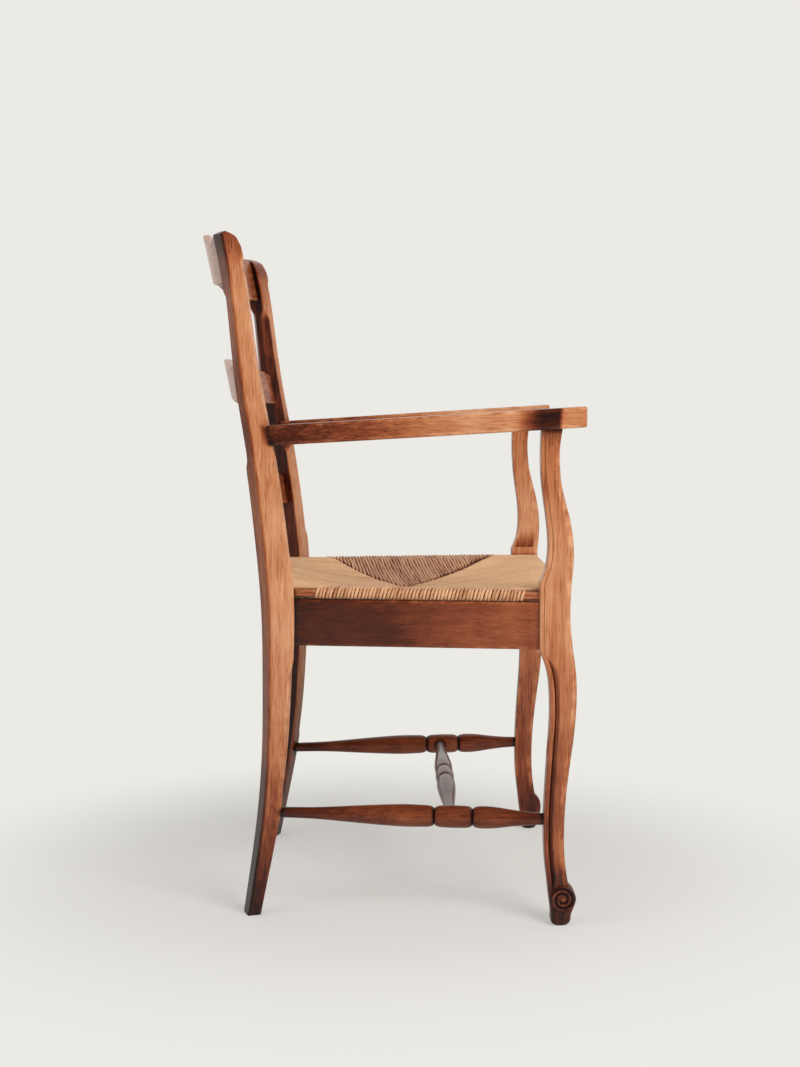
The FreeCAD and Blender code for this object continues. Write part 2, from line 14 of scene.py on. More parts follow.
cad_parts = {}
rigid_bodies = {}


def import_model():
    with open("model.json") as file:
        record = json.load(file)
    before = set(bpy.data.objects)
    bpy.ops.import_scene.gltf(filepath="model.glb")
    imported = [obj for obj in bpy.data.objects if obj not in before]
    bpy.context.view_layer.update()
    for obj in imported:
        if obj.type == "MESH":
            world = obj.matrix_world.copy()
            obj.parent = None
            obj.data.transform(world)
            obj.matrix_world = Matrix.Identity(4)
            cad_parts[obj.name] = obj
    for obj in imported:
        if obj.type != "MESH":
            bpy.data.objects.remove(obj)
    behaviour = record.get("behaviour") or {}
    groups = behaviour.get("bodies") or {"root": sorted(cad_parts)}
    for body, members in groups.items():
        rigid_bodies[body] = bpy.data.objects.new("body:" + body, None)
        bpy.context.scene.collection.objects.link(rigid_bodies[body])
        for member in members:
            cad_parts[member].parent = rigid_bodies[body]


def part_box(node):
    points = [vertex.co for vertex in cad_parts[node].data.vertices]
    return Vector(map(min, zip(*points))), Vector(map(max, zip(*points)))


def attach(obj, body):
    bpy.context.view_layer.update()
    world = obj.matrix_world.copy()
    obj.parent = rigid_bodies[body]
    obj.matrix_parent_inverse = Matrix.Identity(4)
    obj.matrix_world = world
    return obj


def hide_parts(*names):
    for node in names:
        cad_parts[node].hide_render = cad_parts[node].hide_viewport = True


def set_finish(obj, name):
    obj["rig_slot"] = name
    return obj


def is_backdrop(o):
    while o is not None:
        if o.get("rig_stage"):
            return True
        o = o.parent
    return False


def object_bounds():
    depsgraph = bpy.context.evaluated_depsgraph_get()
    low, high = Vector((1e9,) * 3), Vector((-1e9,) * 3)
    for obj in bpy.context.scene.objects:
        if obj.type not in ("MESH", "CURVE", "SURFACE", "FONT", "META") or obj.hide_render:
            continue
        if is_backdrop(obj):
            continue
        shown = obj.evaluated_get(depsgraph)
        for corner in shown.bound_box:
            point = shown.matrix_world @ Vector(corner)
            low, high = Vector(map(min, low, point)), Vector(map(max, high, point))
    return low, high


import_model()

bl_info = {
    "name": "Rush-Seated Ladderback Armchair",
    "version": (1, 0, 0),
    "blender": (4, 5, 0),
    "location": "View3D > Sidebar > Chair",
    "description": "An oak ladderback armchair with bowed slats, scroll feet and a woven rush seat",
    "category": "Object",
}

# Millimetres throughout, turned into metres where a mesh or a lamp is made.
# X points to the front of the chair, Y to its left, Z up.
MM = 0.001
CAD_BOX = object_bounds()


def node_box(name):
    """The lowest and highest corner of a node of the frame."""
    low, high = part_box(name)
    return Vector(low) / MM, Vector(high) / MM


# Back posts: height, middle of the section along X, depth of the section
POST_STATIONS = [
    (0, -190.5, 18.7), (60, -179.8, 21.6), (150, -165, 26.7), (250, -155.3, 31.9), (335, -152, 35.7),
    (420, -150.8, 38.9), (495, -154.4, 40.6), (560, -161.1, 39.9), (650, -172.9, 37.5), (750, -189.7, 33.9),
    (850, -201.7, 29.1), (905, -209.1, 28), (960, -221, 26),
]
POST_THICK = 28.5
POST_TURN = [(0, 17.5), (250, 20.5), (400, 24.4), (500, 27.5), (600, 29), (960, 29)]
POST_SPREAD = [(0, 217), (495, 234), (960, 240)]

# Top of a post: height and distance in front of its axis along its turned face, then insets of the crown
POST_AXIS_X = -220
POST_NOSE = [(892, 27.8), (922, 21.6), (936, 17.1), (944.6, 12.8), (951, 6.5), (955.4, -3)]
POST_CROWN_BACK = [(949.5, -15), (955.4, -4)]
POST_CROWN = [(946, 0), (948, 0.4), (949.5, 0.8), (951, 1.3), (952.5, 1.9), (953.8, 2.7), (954.7, 3.6),
              (955.3, 5)]

# Stopped chamfers of the posts: front or rear, outwards or inwards, span, width
POST_CHAMFERS = [(1, 1, (165, 365), 6.5), (1, 1, (500, 925), 6.5), (1, -1, (640, 872), 9),
                 (-1, -1, (632, 878), 9)]
CHAMFER_STOP = 14
POST_RINGS = 104

# Bowed back slats
SLAT_THICK = 11
SLAT_REACH = 246
SLAT_SINK = 5
SLAT_RINGS = 76
Slat = namedtuple("Slat", "node rear_x sagitta lean top bottom")
SLATS = [
    Slat("slat_crest", -252.7, 41, 0.205,
         [(0, 971), (65, 966), (130, 951), (185, 949), (222, 954), (246, 945)],
         [(0, 901), (60, 896), (180, 887), (246, 888)]),
    Slat("slat_middle", -227, 45, 0.2,
         [(0, 787), (70, 785), (150, 777), (215, 769), (246, 757)],
         [(0, 732), (60, 729), (180, 720), (246, 719)]),
    Slat("slat_lower", -195.4, 30, 0.18,
         [(0, 621), (70, 619), (150, 612), (215, 604), (246, 592)],
         [(0, 555), (120, 558), (246, 555)]),
]

# Front legs: the outline's front and rear edge, as height and X
LEG_OUTER = 280
LEG_THICK = 26
LEG_REAR = 210
BLOCK_LOW = 385
BLOCK_HIGH = 477
BLOCK_TOP = 480
BLOCK_PROUD = 3
LEDGE = 0.6
TENON_SINK = 3
ANKLE = 58
SUPPORT_FRONT = [(84, 248), (118, 246), (150, 246.5), (192, 249.5), (237, 255), (280, 260), (320, 262),
                 (355, 260.5), (390, 255.5), (425, 252), (450, 252), (478, 254), (508, 256.5),
                 (540, 255), (572, 249), (607, 240), (638, 236.5), (662, 236.5), (690, 240.5)]
LEG_FRONT_EDGE = [(ANKLE, 252)] + SUPPORT_FRONT
TOE_EDGE = [(0, 250), (4, 254.5), (12, 256), (24, 260.2), (39, 262), (50, 259), (ANKLE, 252)]
LEG_REAR_EDGE = [(0, 235), (3, 230), (9, 228), (32, 226), (58, 223), (88, 219.5), (125, 217.5), (165, 218),
                 (205, 220), (245, 222.5), (290, 225), (325, 224.5), (358, 220), (BLOCK_LOW, LEG_REAR)]
SUPPORT_REAR_EDGE = [(BLOCK_HIGH, LEG_REAR), (491, 216), (512, 220.5), (538, 221), (568, 218), (596, 214),
                     (625, 211), (655, 210), (690, 211)]
BEAD_WIDE = 5.6
BEAD_GROOVE = 5
BEAD_DEEP = 3.4
BEAD_FADE = 26
BLOCK_FADE = 18
INNER_TONE_FADE = 36

# Scroll of the foot
SCROLL_X = 244
SCROLL_Z = 38
SCROLL_RADIUS = 18.4
SCROLL_PROUD = 4.0
SCROLL_PITCH = 6.8
SCROLL_RIDGE = 1.9
SCROLL_EYE = 4.2
SCROLL_SUNK = 3
SCROLL_EDGE = 1.6
SCROLL_STEPS = 84
SCROLL_RINGS = 34

# Arms
ARM_THICK = 28
ARM_BACK_X = -174
ARM_FRONT_X = 272
ARM_CORNER = 10
ARM_RINGS = 60
ARM_TOP_AT = (-170, 691)
ARM_RISE = 0.0605
ARM_OUTER = [(-174, 242), (-110, 259), (-30, 275), (60, 287), (150, 294), (225, 296), (262, 293)]
ARM_INNER = [(-174, 207.3), (-110, 219), (-30, 232), (60, 240), (160, 241), (225, 240), (262, 243)]

# Seat frame
APRON_LOW, APRON_TOP = (corner.z for corner in node_box("apron_left"))
RAIL_LOW, RAIL_TOP = (corner.z for corner in node_box("seat_rail_left"))
APRON_THICK = 16
RAIL_WIDE = 30
RAIL_INSET = 2
SIDE_BACK = (-128, 232)
SIDE_FRONT = (210, 274)
BOARD_SINK = 4
SIDE_TENON = 12
SIDE_RINGS = 44
CROSS_RINGS = 64
APRON_FRONT_X = 230
APRON_BACK_X = -166
RAIL_FRONT_X = 222
FRONT_APRON_EDGE = [(0, 386), (75, 397), (150, 402), (225, 390), (254, 378)]

# Turned stretchers: share of the length and radius, then the shares where beads are cut
STRETCHER_Z = 147
STRETCHER_BACK = (-148, 223.5)
STRETCHER_FRONT = (218, 265.2)
STRETCHER_CROSS_X = 90
STRETCHER_SHORT = 12
SIDE_TURNING = [(0, 7.4), (0.13, 8.3), (0.27, 11.6), (0.4, 14.6), (0.5, 15.7), (0.588, 15), (0.66, 15.7),
                (0.733, 15.2), (0.78, 15.5), (0.82, 14.6), (0.87, 12.2), (0.94, 9.4), (1, 8.2)]
SIDE_CUTS = [0.588, 0.733]
CROSS_TURNING = [(0, 7.2), (0.1, 8), (0.22, 11), (0.32, 13.4), (0.38, 14), (0.436, 13.4), (0.5, 14.2),
                 (0.564, 13.4), (0.62, 14), (0.68, 13.4), (0.78, 11), (0.9, 8), (1, 7.2)]
CROSS_CUTS = [0.436, 0.564]
CUT_DEEP = 4.6
CUT_HALF = 11
CUT_STEPS = (0, 0.6, 1.6, 3.2, 5.5)
TURNED_SIDES = 32
TURNED_RINGS = 130
TURNED_TENON = 6

# Rush seat
CORD_STANDS = 4
CORD_LEAN = 1.8
CORD_SIDES = 8
CORD_WIDE = 0.425
CORD_HIGH = 0.58
CORD_ENDS = (0.55, 0.85)
CORD_VARIES = 0.03
CORD_LIFT = (-0.35, 0.25)
CORD_SHORT = 2.5
CORD_SWAYS = ((0.35, 21), (0.22, 8))
CORD_SWELL = (0.05, 13)
CORD_STEP = 11
TUCK_DEEP = 3.4
TUCK_LONG = 7
STUFFING_STEPS = 14
ROLL_TOP = RAIL_TOP + CORD_STANDS
ROLL_LOW = RAIL_LOW - CORD_STANDS
ROLL_RADIUS = (ROLL_TOP - ROLL_LOW) / 2
ROLL_MIDDLE = (ROLL_TOP + ROLL_LOW) / 2
SEAT_MIDDLE = (30, 0)
SEAT_DROP = 25
SEAM_SOFTNESS = 0.035
SEAT_DISH = [(0, 0), (0.16, 0.04), (0.3, 0.3), (0.5, 0.62), (0.75, 0.88), (1, 1)]
WRAP_BACK = -99
WRAP_FRONT = 189
FRONT_EDGE = 256
FRONT_HALF = 250
BACK_EDGE = -170
BACK_HALF = 216


def setting(kind, name, description, default, **rest):
    return kind(name=name, description=description, default=default, **rest)


a_length = partial(setting, FloatProperty, unit="LENGTH")
a_power = partial(setting, FloatProperty, min=0, unit="POWER")
a_strength = partial(setting, FloatProperty, min=0, max=2, subtype="FACTOR")
a_colour = partial(setting, FloatVectorProperty, min=0, max=1, subtype="COLOR_GAMMA")


class ChairSizes(bpy.types.PropertyGroup):
    """Sizes that a maker of the chair would change."""

    arris: a_length("Arris", "Radius of the worn edges of the boards", 1.8 * MM, min=0.0005, max=0.004)
    leg_round: a_length(
        "Leg rounding", "Radius of the front edges of the legs", 6.5 * MM, min=0.002, max=0.01)
    cord_pitch: a_length(
        "Cord pitch", "Distance between the middles of two rush cords", 5.0 * MM, min=0.003, max=0.01)
    cord_twist: a_length(
        "Cord twist", "Length in which a rush cord turns once round", 26 * MM, min=0.01, max=0.06)
    # Reach of the dark wax and painted shade round the joints.
    grime_and_shade_reach: a_length(
        "Grime reach", "How far the dark polish spreads from a joint", 4 * MM, min=0.002, max=0.03)


class ChairColours(bpy.types.PropertyGroup):
    """Colours of the oak, from worn to dark, and of the rush."""

    oak_worn: a_colour(
        "Worn oak", "Oak where hands and clothes have rubbed the polish off", (0.886, 0.675, 0.51))
    oak_pale: a_colour("Pale oak", "Oak under a thin polish", (0.81, 0.56, 0.395))
    oak_amber: a_colour("Amber oak", "Oak under a full polish", (0.7, 0.42, 0.258))
    oak_red: a_colour("Red oak", "Oak under a thick red-brown polish", (0.53, 0.262, 0.148))
    # Joints, grooves and corners reach the brown and black oak partly through painted shade.
    oak_brown: a_colour("Brown oak", "Oak in joints and along the feet", (0.34, 0.138, 0.062))
    oak_black: a_colour("Black oak", "Old wax in grooves and corners", (0.14, 0.052, 0.032))
    rush_pale: a_colour("Pale rush", "Rush that the light has bleached", (0.93, 0.755, 0.575))
    rush_gold: a_colour("Golden rush", "Most of the rush", (0.86, 0.655, 0.485))
    # The side fields reach the brown and dark rush partly through painted shade.
    rush_brown: a_colour("Brown rush", "Rush where it is rubbed and polished", (0.68, 0.415, 0.29))
    # Painted shade: the dark seen between the cords and where they tuck in.
    rush_gap_shade: a_colour("Dark rush", "Stuffing seen between the cords", (0.22, 0.115, 0.07))


class StudioLight(bpy.types.PropertyGroup):
    """Strengths and shades of the stage."""

    key_power: a_power("Window", "Power of the large soft lamp", 62)
    fill_power: a_power("Fill", "Power of the weaker lamp on the other side", 14)
    room: a_strength("Room", "Strength of the light from all sides", 0.42)
    dim: a_strength("Dim side", "Strength of what the polish reflects on the camera's side", 0.22)
    backdrop: a_colour("Backdrop", "Colour of the wall behind the chair", (0.925, 0.918, 0.898))
    floor: a_colour("Floor", "Colour of the floor", (0.925, 0.918, 0.9))


def linear(colour):
    """A colour as the shaders need it, from the shade seen on a screen."""
    return tuple(c / 12.92 if c <= 0.04045 else ((c + 0.055) / 1.055) ** 2.4 for c in colour) + (1,)


# Curves and sections

def batten(points):
    """A smooth function through (place, value) points, bent as a thin batten would be."""
    x, y = (np.array(column, float) for column in zip(*points))
    gap = np.diff(x)
    slope = np.diff(y) / gap
    last = len(x) - 1
    system = np.eye(last + 1)
    right = np.zeros(last + 1)
    for i in range(1, last):
        system[i, i - 1:i + 2] = gap[i - 1], 2 * (gap[i - 1] + gap[i]), gap[i]
        right[i] = 6 * (slope[i] - slope[i - 1])
    bend = np.linalg.solve(system, right)

    def at(place):
        place = min(max(place, x[0]), x[-1])
        i = min(max(int(np.searchsorted(x, place)) - 1, 0), last - 1)
        before, after, wide = place - x[i], x[i + 1] - place, gap[i]
        curved = (bend[i] * after ** 3 + bend[i + 1] * before ** 3) / (6 * wide)
        left = (y[i] / wide - bend[i] * wide / 6) * after
        return float(curved + left + (y[i + 1] / wide - bend[i + 1] * wide / 6) * before)
    return at


def both_ways(points):
    """A table given from the middle outwards, repeated on the other side of the middle."""
    return [(-place, value) for place, value in reversed(points[1:])] + points


def straight(points):
    """A function of straight stretches through (place, value) points."""
    places, values = zip(*points)
    return lambda place: float(np.interp(place, places, values))


def ease(share):
    share = min(max(share, 0), 1)
    return share * share * (3 - 2 * share)


def within(place, low, high, stop):
    """1 inside a stretch, 0 outside it, easing over the given stop at each end."""
    return ease(min(place - low, high - place) / stop)


ROUND = math.sqrt(0.5)      # the weight that bends a square corner to a quarter circle
# Each corner's arc is drawn lighter by its wear: rubbed polish, and painted highlight where a rounded edge
# turns to the light.
Corner = namedtuple("Corner", "u v size weight wear dirt face", defaults=(ROUND, 1, 0, 0))
ARC_STEPS = 3
WEAR_FADE = 3.0


def section(corners):
    """Points round a closed section as (u, v, how worn and lit, how dirty and shaded): a worn arc at each
    corner, three on each face.

    A corner's face is how dark the face that follows it is drawn: dark polish, and painted shade in hollows."""
    points = []
    for i, here in enumerate(corners):
        before, after = corners[i - 1], corners[(i + 1) % len(corners)]
        centre = Vector((here.u, here.v))
        start = centre + (Vector((before.u, before.v)) - centre).normalized() * here.size
        end = centre + (Vector((after.u, after.v)) - centre).normalized() * here.size
        for k in range(ARC_STEPS + 1):
            s = k / ARC_STEPS
            a, b, c = (1 - s) ** 2, 2 * s * (1 - s) * here.weight, s ** 2
            point = (start * a + centre * b + end * c) / (a + b + c)
            points.append((point.x, point.y, here.wear, here.dirt))
        far = Vector((after.u, after.v))
        far += (centre - far).normalized() * after.size
        length = (far - end).length
        fade = min(WEAR_FADE, length * 0.3) / max(length, 1e-6)
        for share in (fade, 0.5, 1 - fade):
            point = end.lerp(far, share)
            points.append((point.x, point.y, 0, here.face))
    return points


def rectangle(u0, u1, v0, v1, size):
    """The section of a board with alike edges."""
    return section([Corner(u0, v0, size), Corner(u1, v0, size), Corner(u1, v1, size), Corner(u0, v1, size)])


def circle(radius, sides, dirt=0):
    turns = [2 * math.pi * k / sides for k in range(sides)]
    return [(radius * math.cos(t), radius * math.sin(t), 0, dirt) for t in turns]


class Skin:
    """Closed skins over rings of points, with the marks that each point carries."""

    def __init__(self, *chains):
        self.points = []
        self.faces = []
        self.marks = []
        for rings, place in chains:
            self.cover(rings, place)

    def cover(self, rings, place):
        """Joins (section, station) rings with quads and closes both ends.

        place turns a section's u and v and the ring's station into x, y, z."""
        size = len(rings[0][0])
        starts = []
        for points, station in rings:
            starts.append(len(self.points))
            for u, v, *marks in points:
                self.points.append(place(u, v, station))
                self.marks.append(marks)
        for low, high in zip(starts, starts[1:]):
            for k in range(size):
                after = (k + 1) % size
                self.faces.append((low + k, low + after, high + after, high + k))
        self.faces.append(tuple(range(starts[0] + size - 1, starts[0] - 1, -1)))
        self.faces.append(tuple(range(starts[-1], starts[-1] + size)))


def new_object(name, data):
    made = bpy.data.objects.new(name, data)
    bpy.context.collection.objects.link(made)
    return made


def new_piece(name, points, faces, values, smooth_to=38):
    """A mesh object from points in millimetres, with its faces turned outwards and values at its points."""
    mesh = bpy.data.meshes.new(name)
    mesh.from_pydata([Vector(point) * MM for point in points], [], faces)
    for key, column in values.items():
        is_vector = np.ndim(column) == 2
        layer = mesh.attributes.new(key, "FLOAT_VECTOR" if is_vector else "FLOAT", "POINT")
        layer.data.foreach_set("vector" if is_vector else "value", np.array(column, np.float32).ravel())
    shell = bmesh.new()
    shell.from_mesh(mesh)
    bmesh.ops.recalc_face_normals(shell, faces=shell.faces)
    shell.to_mesh(mesh)
    shell.free()
    mesh.shade_smooth()
    mesh.set_sharp_from_angle(angle=math.radians(smooth_to))
    piece = new_object(name, mesh)
    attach(piece, "root")
    return piece


def wooden(name, node, lot, oak, *chains):
    """A piece of oak that stands for a node, with a closed skin over each chain of rings.

    Its lot sets where it was cut from the plank."""
    skin = Skin(*chains)
    wear, dirt = zip(*skin.marks)
    piece = new_piece(name, skin.points, skin.faces,
                      {"wear": wear, "dirt": dirt, "lot": [lot] * len(wear)})
    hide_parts(node)
    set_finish(piece, "oak")
    piece.data.materials.append(oak)


SIDES = (("left", 1), ("right", -1))


# Back posts

def post_chain(sizes, side):
    middle = batten([(z, x) for z, x, depth in POST_STATIONS])
    deep = batten([(z, depth) for z, x, depth in POST_STATIONS])
    spread = straight(POST_SPREAD)
    turn = straight([(z, math.radians(angle)) for z, angle in POST_TURN])
    nose, crown_back = batten(POST_NOSE), straight(POST_CROWN_BACK)
    arris = sizes.arris / MM

    def outline(z, inset=0):
        front, back = deep(z) / 2, -deep(z) / 2
        shift = (middle(z) - POST_AXIS_X) * math.cos(turn(z))
        if z > POST_NOSE[0][0]:
            front = min(front, nose(z) - shift)
        if z > POST_CROWN_BACK[0][0]:
            back = max(back, crown_back(z) - shift)
        half = POST_THICK / 2 - inset
        largest = min((front - back) * 0.45, half)

        def corner(front_side, outer_side, **marks):
            size, weight = arris, ROUND
            for f, o, span, wide in POST_CHAMFERS:
                if (f, o) == (front_side, outer_side):
                    cut = within(z, *span, CHAMFER_STOP)
                    size, weight = max(size, arris + cut * (wide - arris)), min(weight, ROUND * (1 - cut))
            return Corner(front if front_side > 0 else back, outer_side * half, min(size, largest), weight,
                          **marks)

        return section([corner(1, 1), corner(-1, 1, wear=0, dirt=0.45, face=0.5),
                        corner(-1, -1, wear=0, dirt=0.85, face=0.98),
                        corner(1, -1, wear=0, dirt=0.85 * within(z, *POST_CHAMFERS[2][2], CHAMFER_STOP))])

    def place(u, v, z):
        x = middle(z) + u * math.cos(turn(z)) + v * math.sin(turn(z))
        y = spread(z) - u * math.sin(turn(z)) + v * math.cos(turn(z))
        return x, side * y, z

    levels = [(0, 2), (0.6, 0.7)] + [(z, 0) for z in np.linspace(2, POST_NOSE[0][0], POST_RINGS)]
    levels += [(z, 0) for z in range(898, 945, 6)] + POST_CROWN
    return [(outline(z, inset), z) for z, inset in levels], place


# Bowed slats

def slat_chain(sizes, slat):
    radius = (SLAT_REACH ** 2 + slat.sagitta ** 2) / (2 * slat.sagitta)
    middle = slat.rear_x + radius
    top, bottom = batten(both_ways(slat.top)), batten(both_ways(slat.bottom))
    low = min(z for y, z in slat.bottom) - 10
    reach = straight(POST_SPREAD)(low) - POST_THICK / 2 + SLAT_SINK
    arris = sizes.arris / MM

    def place(u, v, a):
        r = radius - u
        return middle - r * math.cos(a) - slat.lean * (v - low), r * math.sin(a), v

    rings = []
    limit = math.asin(reach / radius)
    for a in np.linspace(-limit, limit, SLAT_RINGS):
        y = (radius - SLAT_THICK / 2) * math.sin(a)
        rings.append((section([
            Corner(0, bottom(y), arris), Corner(SLAT_THICK, bottom(y), arris * 1.2),
            Corner(SLAT_THICK, top(y), arris * 1.7), Corner(0, top(y), arris * 1.7)]), a))
    return rings, place


# Front legs

def leg_chains(sizes, side):
    """Rings of the leg and its arm support, and those of the scroll on the outer face of its foot."""
    front, toe = batten(LEG_FRONT_EDGE), batten(TOE_EDGE)
    leg_rear, support_rear = batten(LEG_REAR_EDGE), batten(SUPPORT_REAR_EDGE)
    arris, soft = sizes.arris / MM, sizes.leg_round / MM
    inner, outer = LEG_OUTER - LEG_THICK, LEG_OUTER
    top = arm_top(LEG_REAR) - ARM_THICK + TENON_SINK

    def rear(z):
        if z <= BLOCK_LOW:
            return leg_rear(z)
        return LEG_REAR if z <= BLOCK_HIGH else support_rear(z)

    # The inner face is drawn darker just above the block's top, fading upwards, and a little lighter above
    # that.
    def inner_face_tone(z):
        return 0.75 * (1 - ease((z - BLOCK_TOP) / INNER_TONE_FADE)) - 0.2 if z > BLOCK_TOP else 0.04

    def outline(z, inset=0):
        ahead = (toe(z) if z < ANKLE else front(z)) - inset
        back = rear(z) + inset
        block = within(z, BLOCK_LOW, BLOCK_HIGH, BLOCK_FADE)
        rounded = soft + block * (arris - soft)
        # The bead is cut where dark is 1. Its groove is drawn darker there, as wax and as painted shade in
        # the hollow, and the bead's edge lighter, as wear and painted highlight.
        dark = within(z, ANKLE - 14, BLOCK_LOW - 2, BEAD_FADE)
        sharp = max(dark, 0.1)
        cut = dark * BEAD_DEEP
        bead = back + BEAD_WIDE
        lip = bead + BEAD_GROOVE * sharp
        near = inner + inset - BLOCK_PROUD * within(z, BLOCK_LOW - LEDGE, BLOCK_TOP + LEDGE, LEDGE)
        return section([
            Corner(back, near, arris, face=inner_face_tone(z)),
            Corner(ahead, near, rounded),
            Corner(ahead, outer - inset, rounded),
            Corner(lip, outer - inset, 0.6 * sharp, wear=0, dirt=0.4 * dark),
            Corner((lip + bead) / 2, outer - inset - cut, 0.4 * sharp, wear=0, dirt=dark, face=dark * 0.5),
            Corner(bead, outer - inset - cut * 0.2, 0.8, wear=0.7 * dark),
            Corner(back, outer - inset, arris + dark * 0.9, wear=0.3)])

    levels = [0, 0.8, 2] + list(np.arange(4, 70, 3)) + list(np.arange(72, BLOCK_LOW, 7))
    levels += [BLOCK_LOW - LEDGE, BLOCK_LOW] + list(np.arange(392, BLOCK_HIGH, 8))
    levels += [BLOCK_HIGH, BLOCK_TOP, BLOCK_TOP + LEDGE] + list(np.arange(485, top, 7)) + [top]
    insets = {0: 1.6, 0.8: 0.6}
    leg = [(outline(z, insets.get(z, 0)), z) for z in levels]
    return (leg, lambda u, v, z: (u, side * v, z)), scroll_chain(side)


def scroll_chain(side):
    """A disc with a spiral ridge that runs in to an eye. Its rings are circles from the rim to the eye."""

    def ridge(r, turn):
        """How far the carving is cut in, round ridges with a sharp valley between two turns, and how deep in
        a valley the point lies.
        """
        phase = (SCROLL_RADIUS - 1.5 - r - SCROLL_PITCH * turn / (2 * math.pi)) / SCROLL_PITCH
        swell = abs(math.cos(math.pi * phase)) ** 0.7
        if r < SCROLL_EYE:
            swell = max(swell, math.sqrt(1 - (r / SCROLL_EYE) ** 2) * 0.6 + 0.5)
        return SCROLL_RIDGE * (swell - 1), 1 - swell

    def ring(r, proud, carved=False):
        points = []
        for k in range(SCROLL_STEPS):
            turn = 2 * math.pi * k / SCROLL_STEPS
            height, valley = ridge(r, turn) if carved else (0, 0)
            # Ridges are drawn lighter, as wear and painted highlight, and valleys darker, as wax and painted
            # shade.
            points.append((turn, proud + height, 1 - valley if carved else 0, valley))
        return points, r

    def place(turn, out, r):
        return SCROLL_X + r * math.cos(turn), side * (LEG_OUTER + out), SCROLL_Z - r * math.sin(turn)

    rings = [ring(SCROLL_RADIUS, -SCROLL_SUNK)]
    for a in (math.radians(turn) for turn in (0, 30, 60)):
        rings.append(ring(SCROLL_RADIUS - SCROLL_EDGE * (1 - math.cos(a)),
                          SCROLL_PROUD - SCROLL_RIDGE - SCROLL_EDGE * (1 - math.sin(a))))
    rings += [ring(r, SCROLL_PROUD, True) for r in np.linspace(SCROLL_RADIUS - 1.3, 0.3, SCROLL_RINGS)]
    return rings, place


# Arms

def arm_top(x):
    return ARM_TOP_AT[1] + ARM_RISE * (x - ARM_TOP_AT[0])


def arm_chain(sizes, side):
    outer, inner = batten(ARM_OUTER), batten(ARM_INNER)
    soft = sizes.arris / MM * 1.4
    bend_from = ARM_FRONT_X - ARM_CORNER

    def outline(x):
        along = min(max((x - bend_from) / ARM_CORNER, 0), 1)
        drawn_in = ARM_CORNER * (1 - math.sqrt(1 - along ** 2))
        lift = soft * (1 - math.sqrt(1 - ease((x - (ARM_FRONT_X - soft)) / soft) ** 2 * 0.99))
        y0, y1 = inner(x) + drawn_in, outer(x) - drawn_in
        return rectangle(y0, y1, arm_top(x) - ARM_THICK + lift, arm_top(x) - lift, soft)

    places = list(np.linspace(ARM_BACK_X, bend_from, ARM_RINGS))
    places += [bend_from + ARM_CORNER * math.sin(math.radians(a)) for a in (20, 38, 52, 64, 74, 83, 90)]
    return [(outline(x), x) for x in places], lambda u, v, x: (x, side * u, v)


# Seat frame

def side_y(x, inset=0):
    """The outer face of a side board, or a line that far inside it."""
    share = (x - SIDE_BACK[0]) / (SIDE_FRONT[0] - SIDE_BACK[0])
    return SIDE_BACK[1] + share * (SIDE_FRONT[1] - SIDE_BACK[1]) - inset


def side_board_chain(sizes, side, inset, wide, low, high):
    board = rectangle(inset, inset + wide, low, high, sizes.arris / MM)
    places = np.linspace(SIDE_BACK[0] - SIDE_TENON, SIDE_FRONT[0] + BOARD_SINK, SIDE_RINGS)
    return [(board, x) for x in places], lambda u, v, x: (x, side * (side_y(x) - u), v)


def cross_board_chain(sizes, x0, x1, low, high, half):
    """A board across the chair. low is a function of Y."""
    rings = [(rectangle(x0, x1, low(y), high, sizes.arris / MM), y)
             for y in np.linspace(-half, half, CROSS_RINGS)]
    return rings, lambda u, v, y: (u, y, v)


# Turned stretchers

def turned_chain(start, end, turning, cuts):
    """Rings along the line from start to end. Rounded shoulders meet in a sharp valley at each cut."""
    start, end = Vector(start), Vector(end)
    length = (end - start).length
    run = (end - start).normalized()
    side = run.cross(Vector((0, 0, 1))).normalized()
    up = side.cross(run)
    radius = batten(turning)
    grooves = [share * length for share in cuts]
    fine = {g + way * step for g in grooves for step in CUT_STEPS for way in (-1, 1)}
    rings = []
    for along in sorted(set(np.linspace(-TURNED_TENON, length + TURNED_TENON, TURNED_RINGS)) | fine):
        nearest = min(abs(along - g) for g in grooves)
        share = max(0, 1 - nearest / CUT_HALF)
        cut = 1 - math.sqrt(1 - share ** 2)
        section_radius = radius(along / length) - CUT_DEEP * cut
        # Each cut's valley is drawn darker, as wax and as painted shade in the groove.
        rings.append((circle(section_radius, TURNED_SIDES, 0.8 * share ** 6), along))
    return rings, lambda u, v, along: start + run * along + side * u + up * v


# Rush seat

def seat_dish():
    """The height of the woven top over any point of the plan, with one shape for all four fields."""
    dish = batten(SEAT_DISH)
    edge = RAIL_INSET - CORD_STANDS

    def side_share(x, y):
        return (side_y(x, edge) - abs(y)) / side_y(SEAT_MIDDLE[0], edge)

    def height(x, y):
        shares = (side_share(x, y), (FRONT_EDGE - x) / (FRONT_EDGE - SEAT_MIDDLE[0]),
                  (x - BACK_EDGE) / (SEAT_MIDDLE[0] - BACK_EDGE))
        least = -SEAM_SOFTNESS * math.log(sum(math.exp(-share / SEAM_SOFTNESS) for share in shares))
        return ROLL_TOP - SEAT_DROP * dish(max(0, min(1, least)))
    return height


def cross(a, b):
    return a.x * b.y - a.y * b.x


def seam_reach(edge_point, inward, corners):
    """Distance from the rail to the nearer of the two diagonals that meet in the seat's middle."""
    reaches = []
    apex = Vector(SEAT_MIDDLE)
    for corner in corners:
        diagonal = apex - corner
        gap = corner - edge_point
        reach = cross(gap, diagonal) / cross(inward, diagonal)
        share = cross(gap, inward) / cross(inward, diagonal)
        if -0.02 <= share <= 1.02:
            reaches.append(reach)
    return min(reaches)


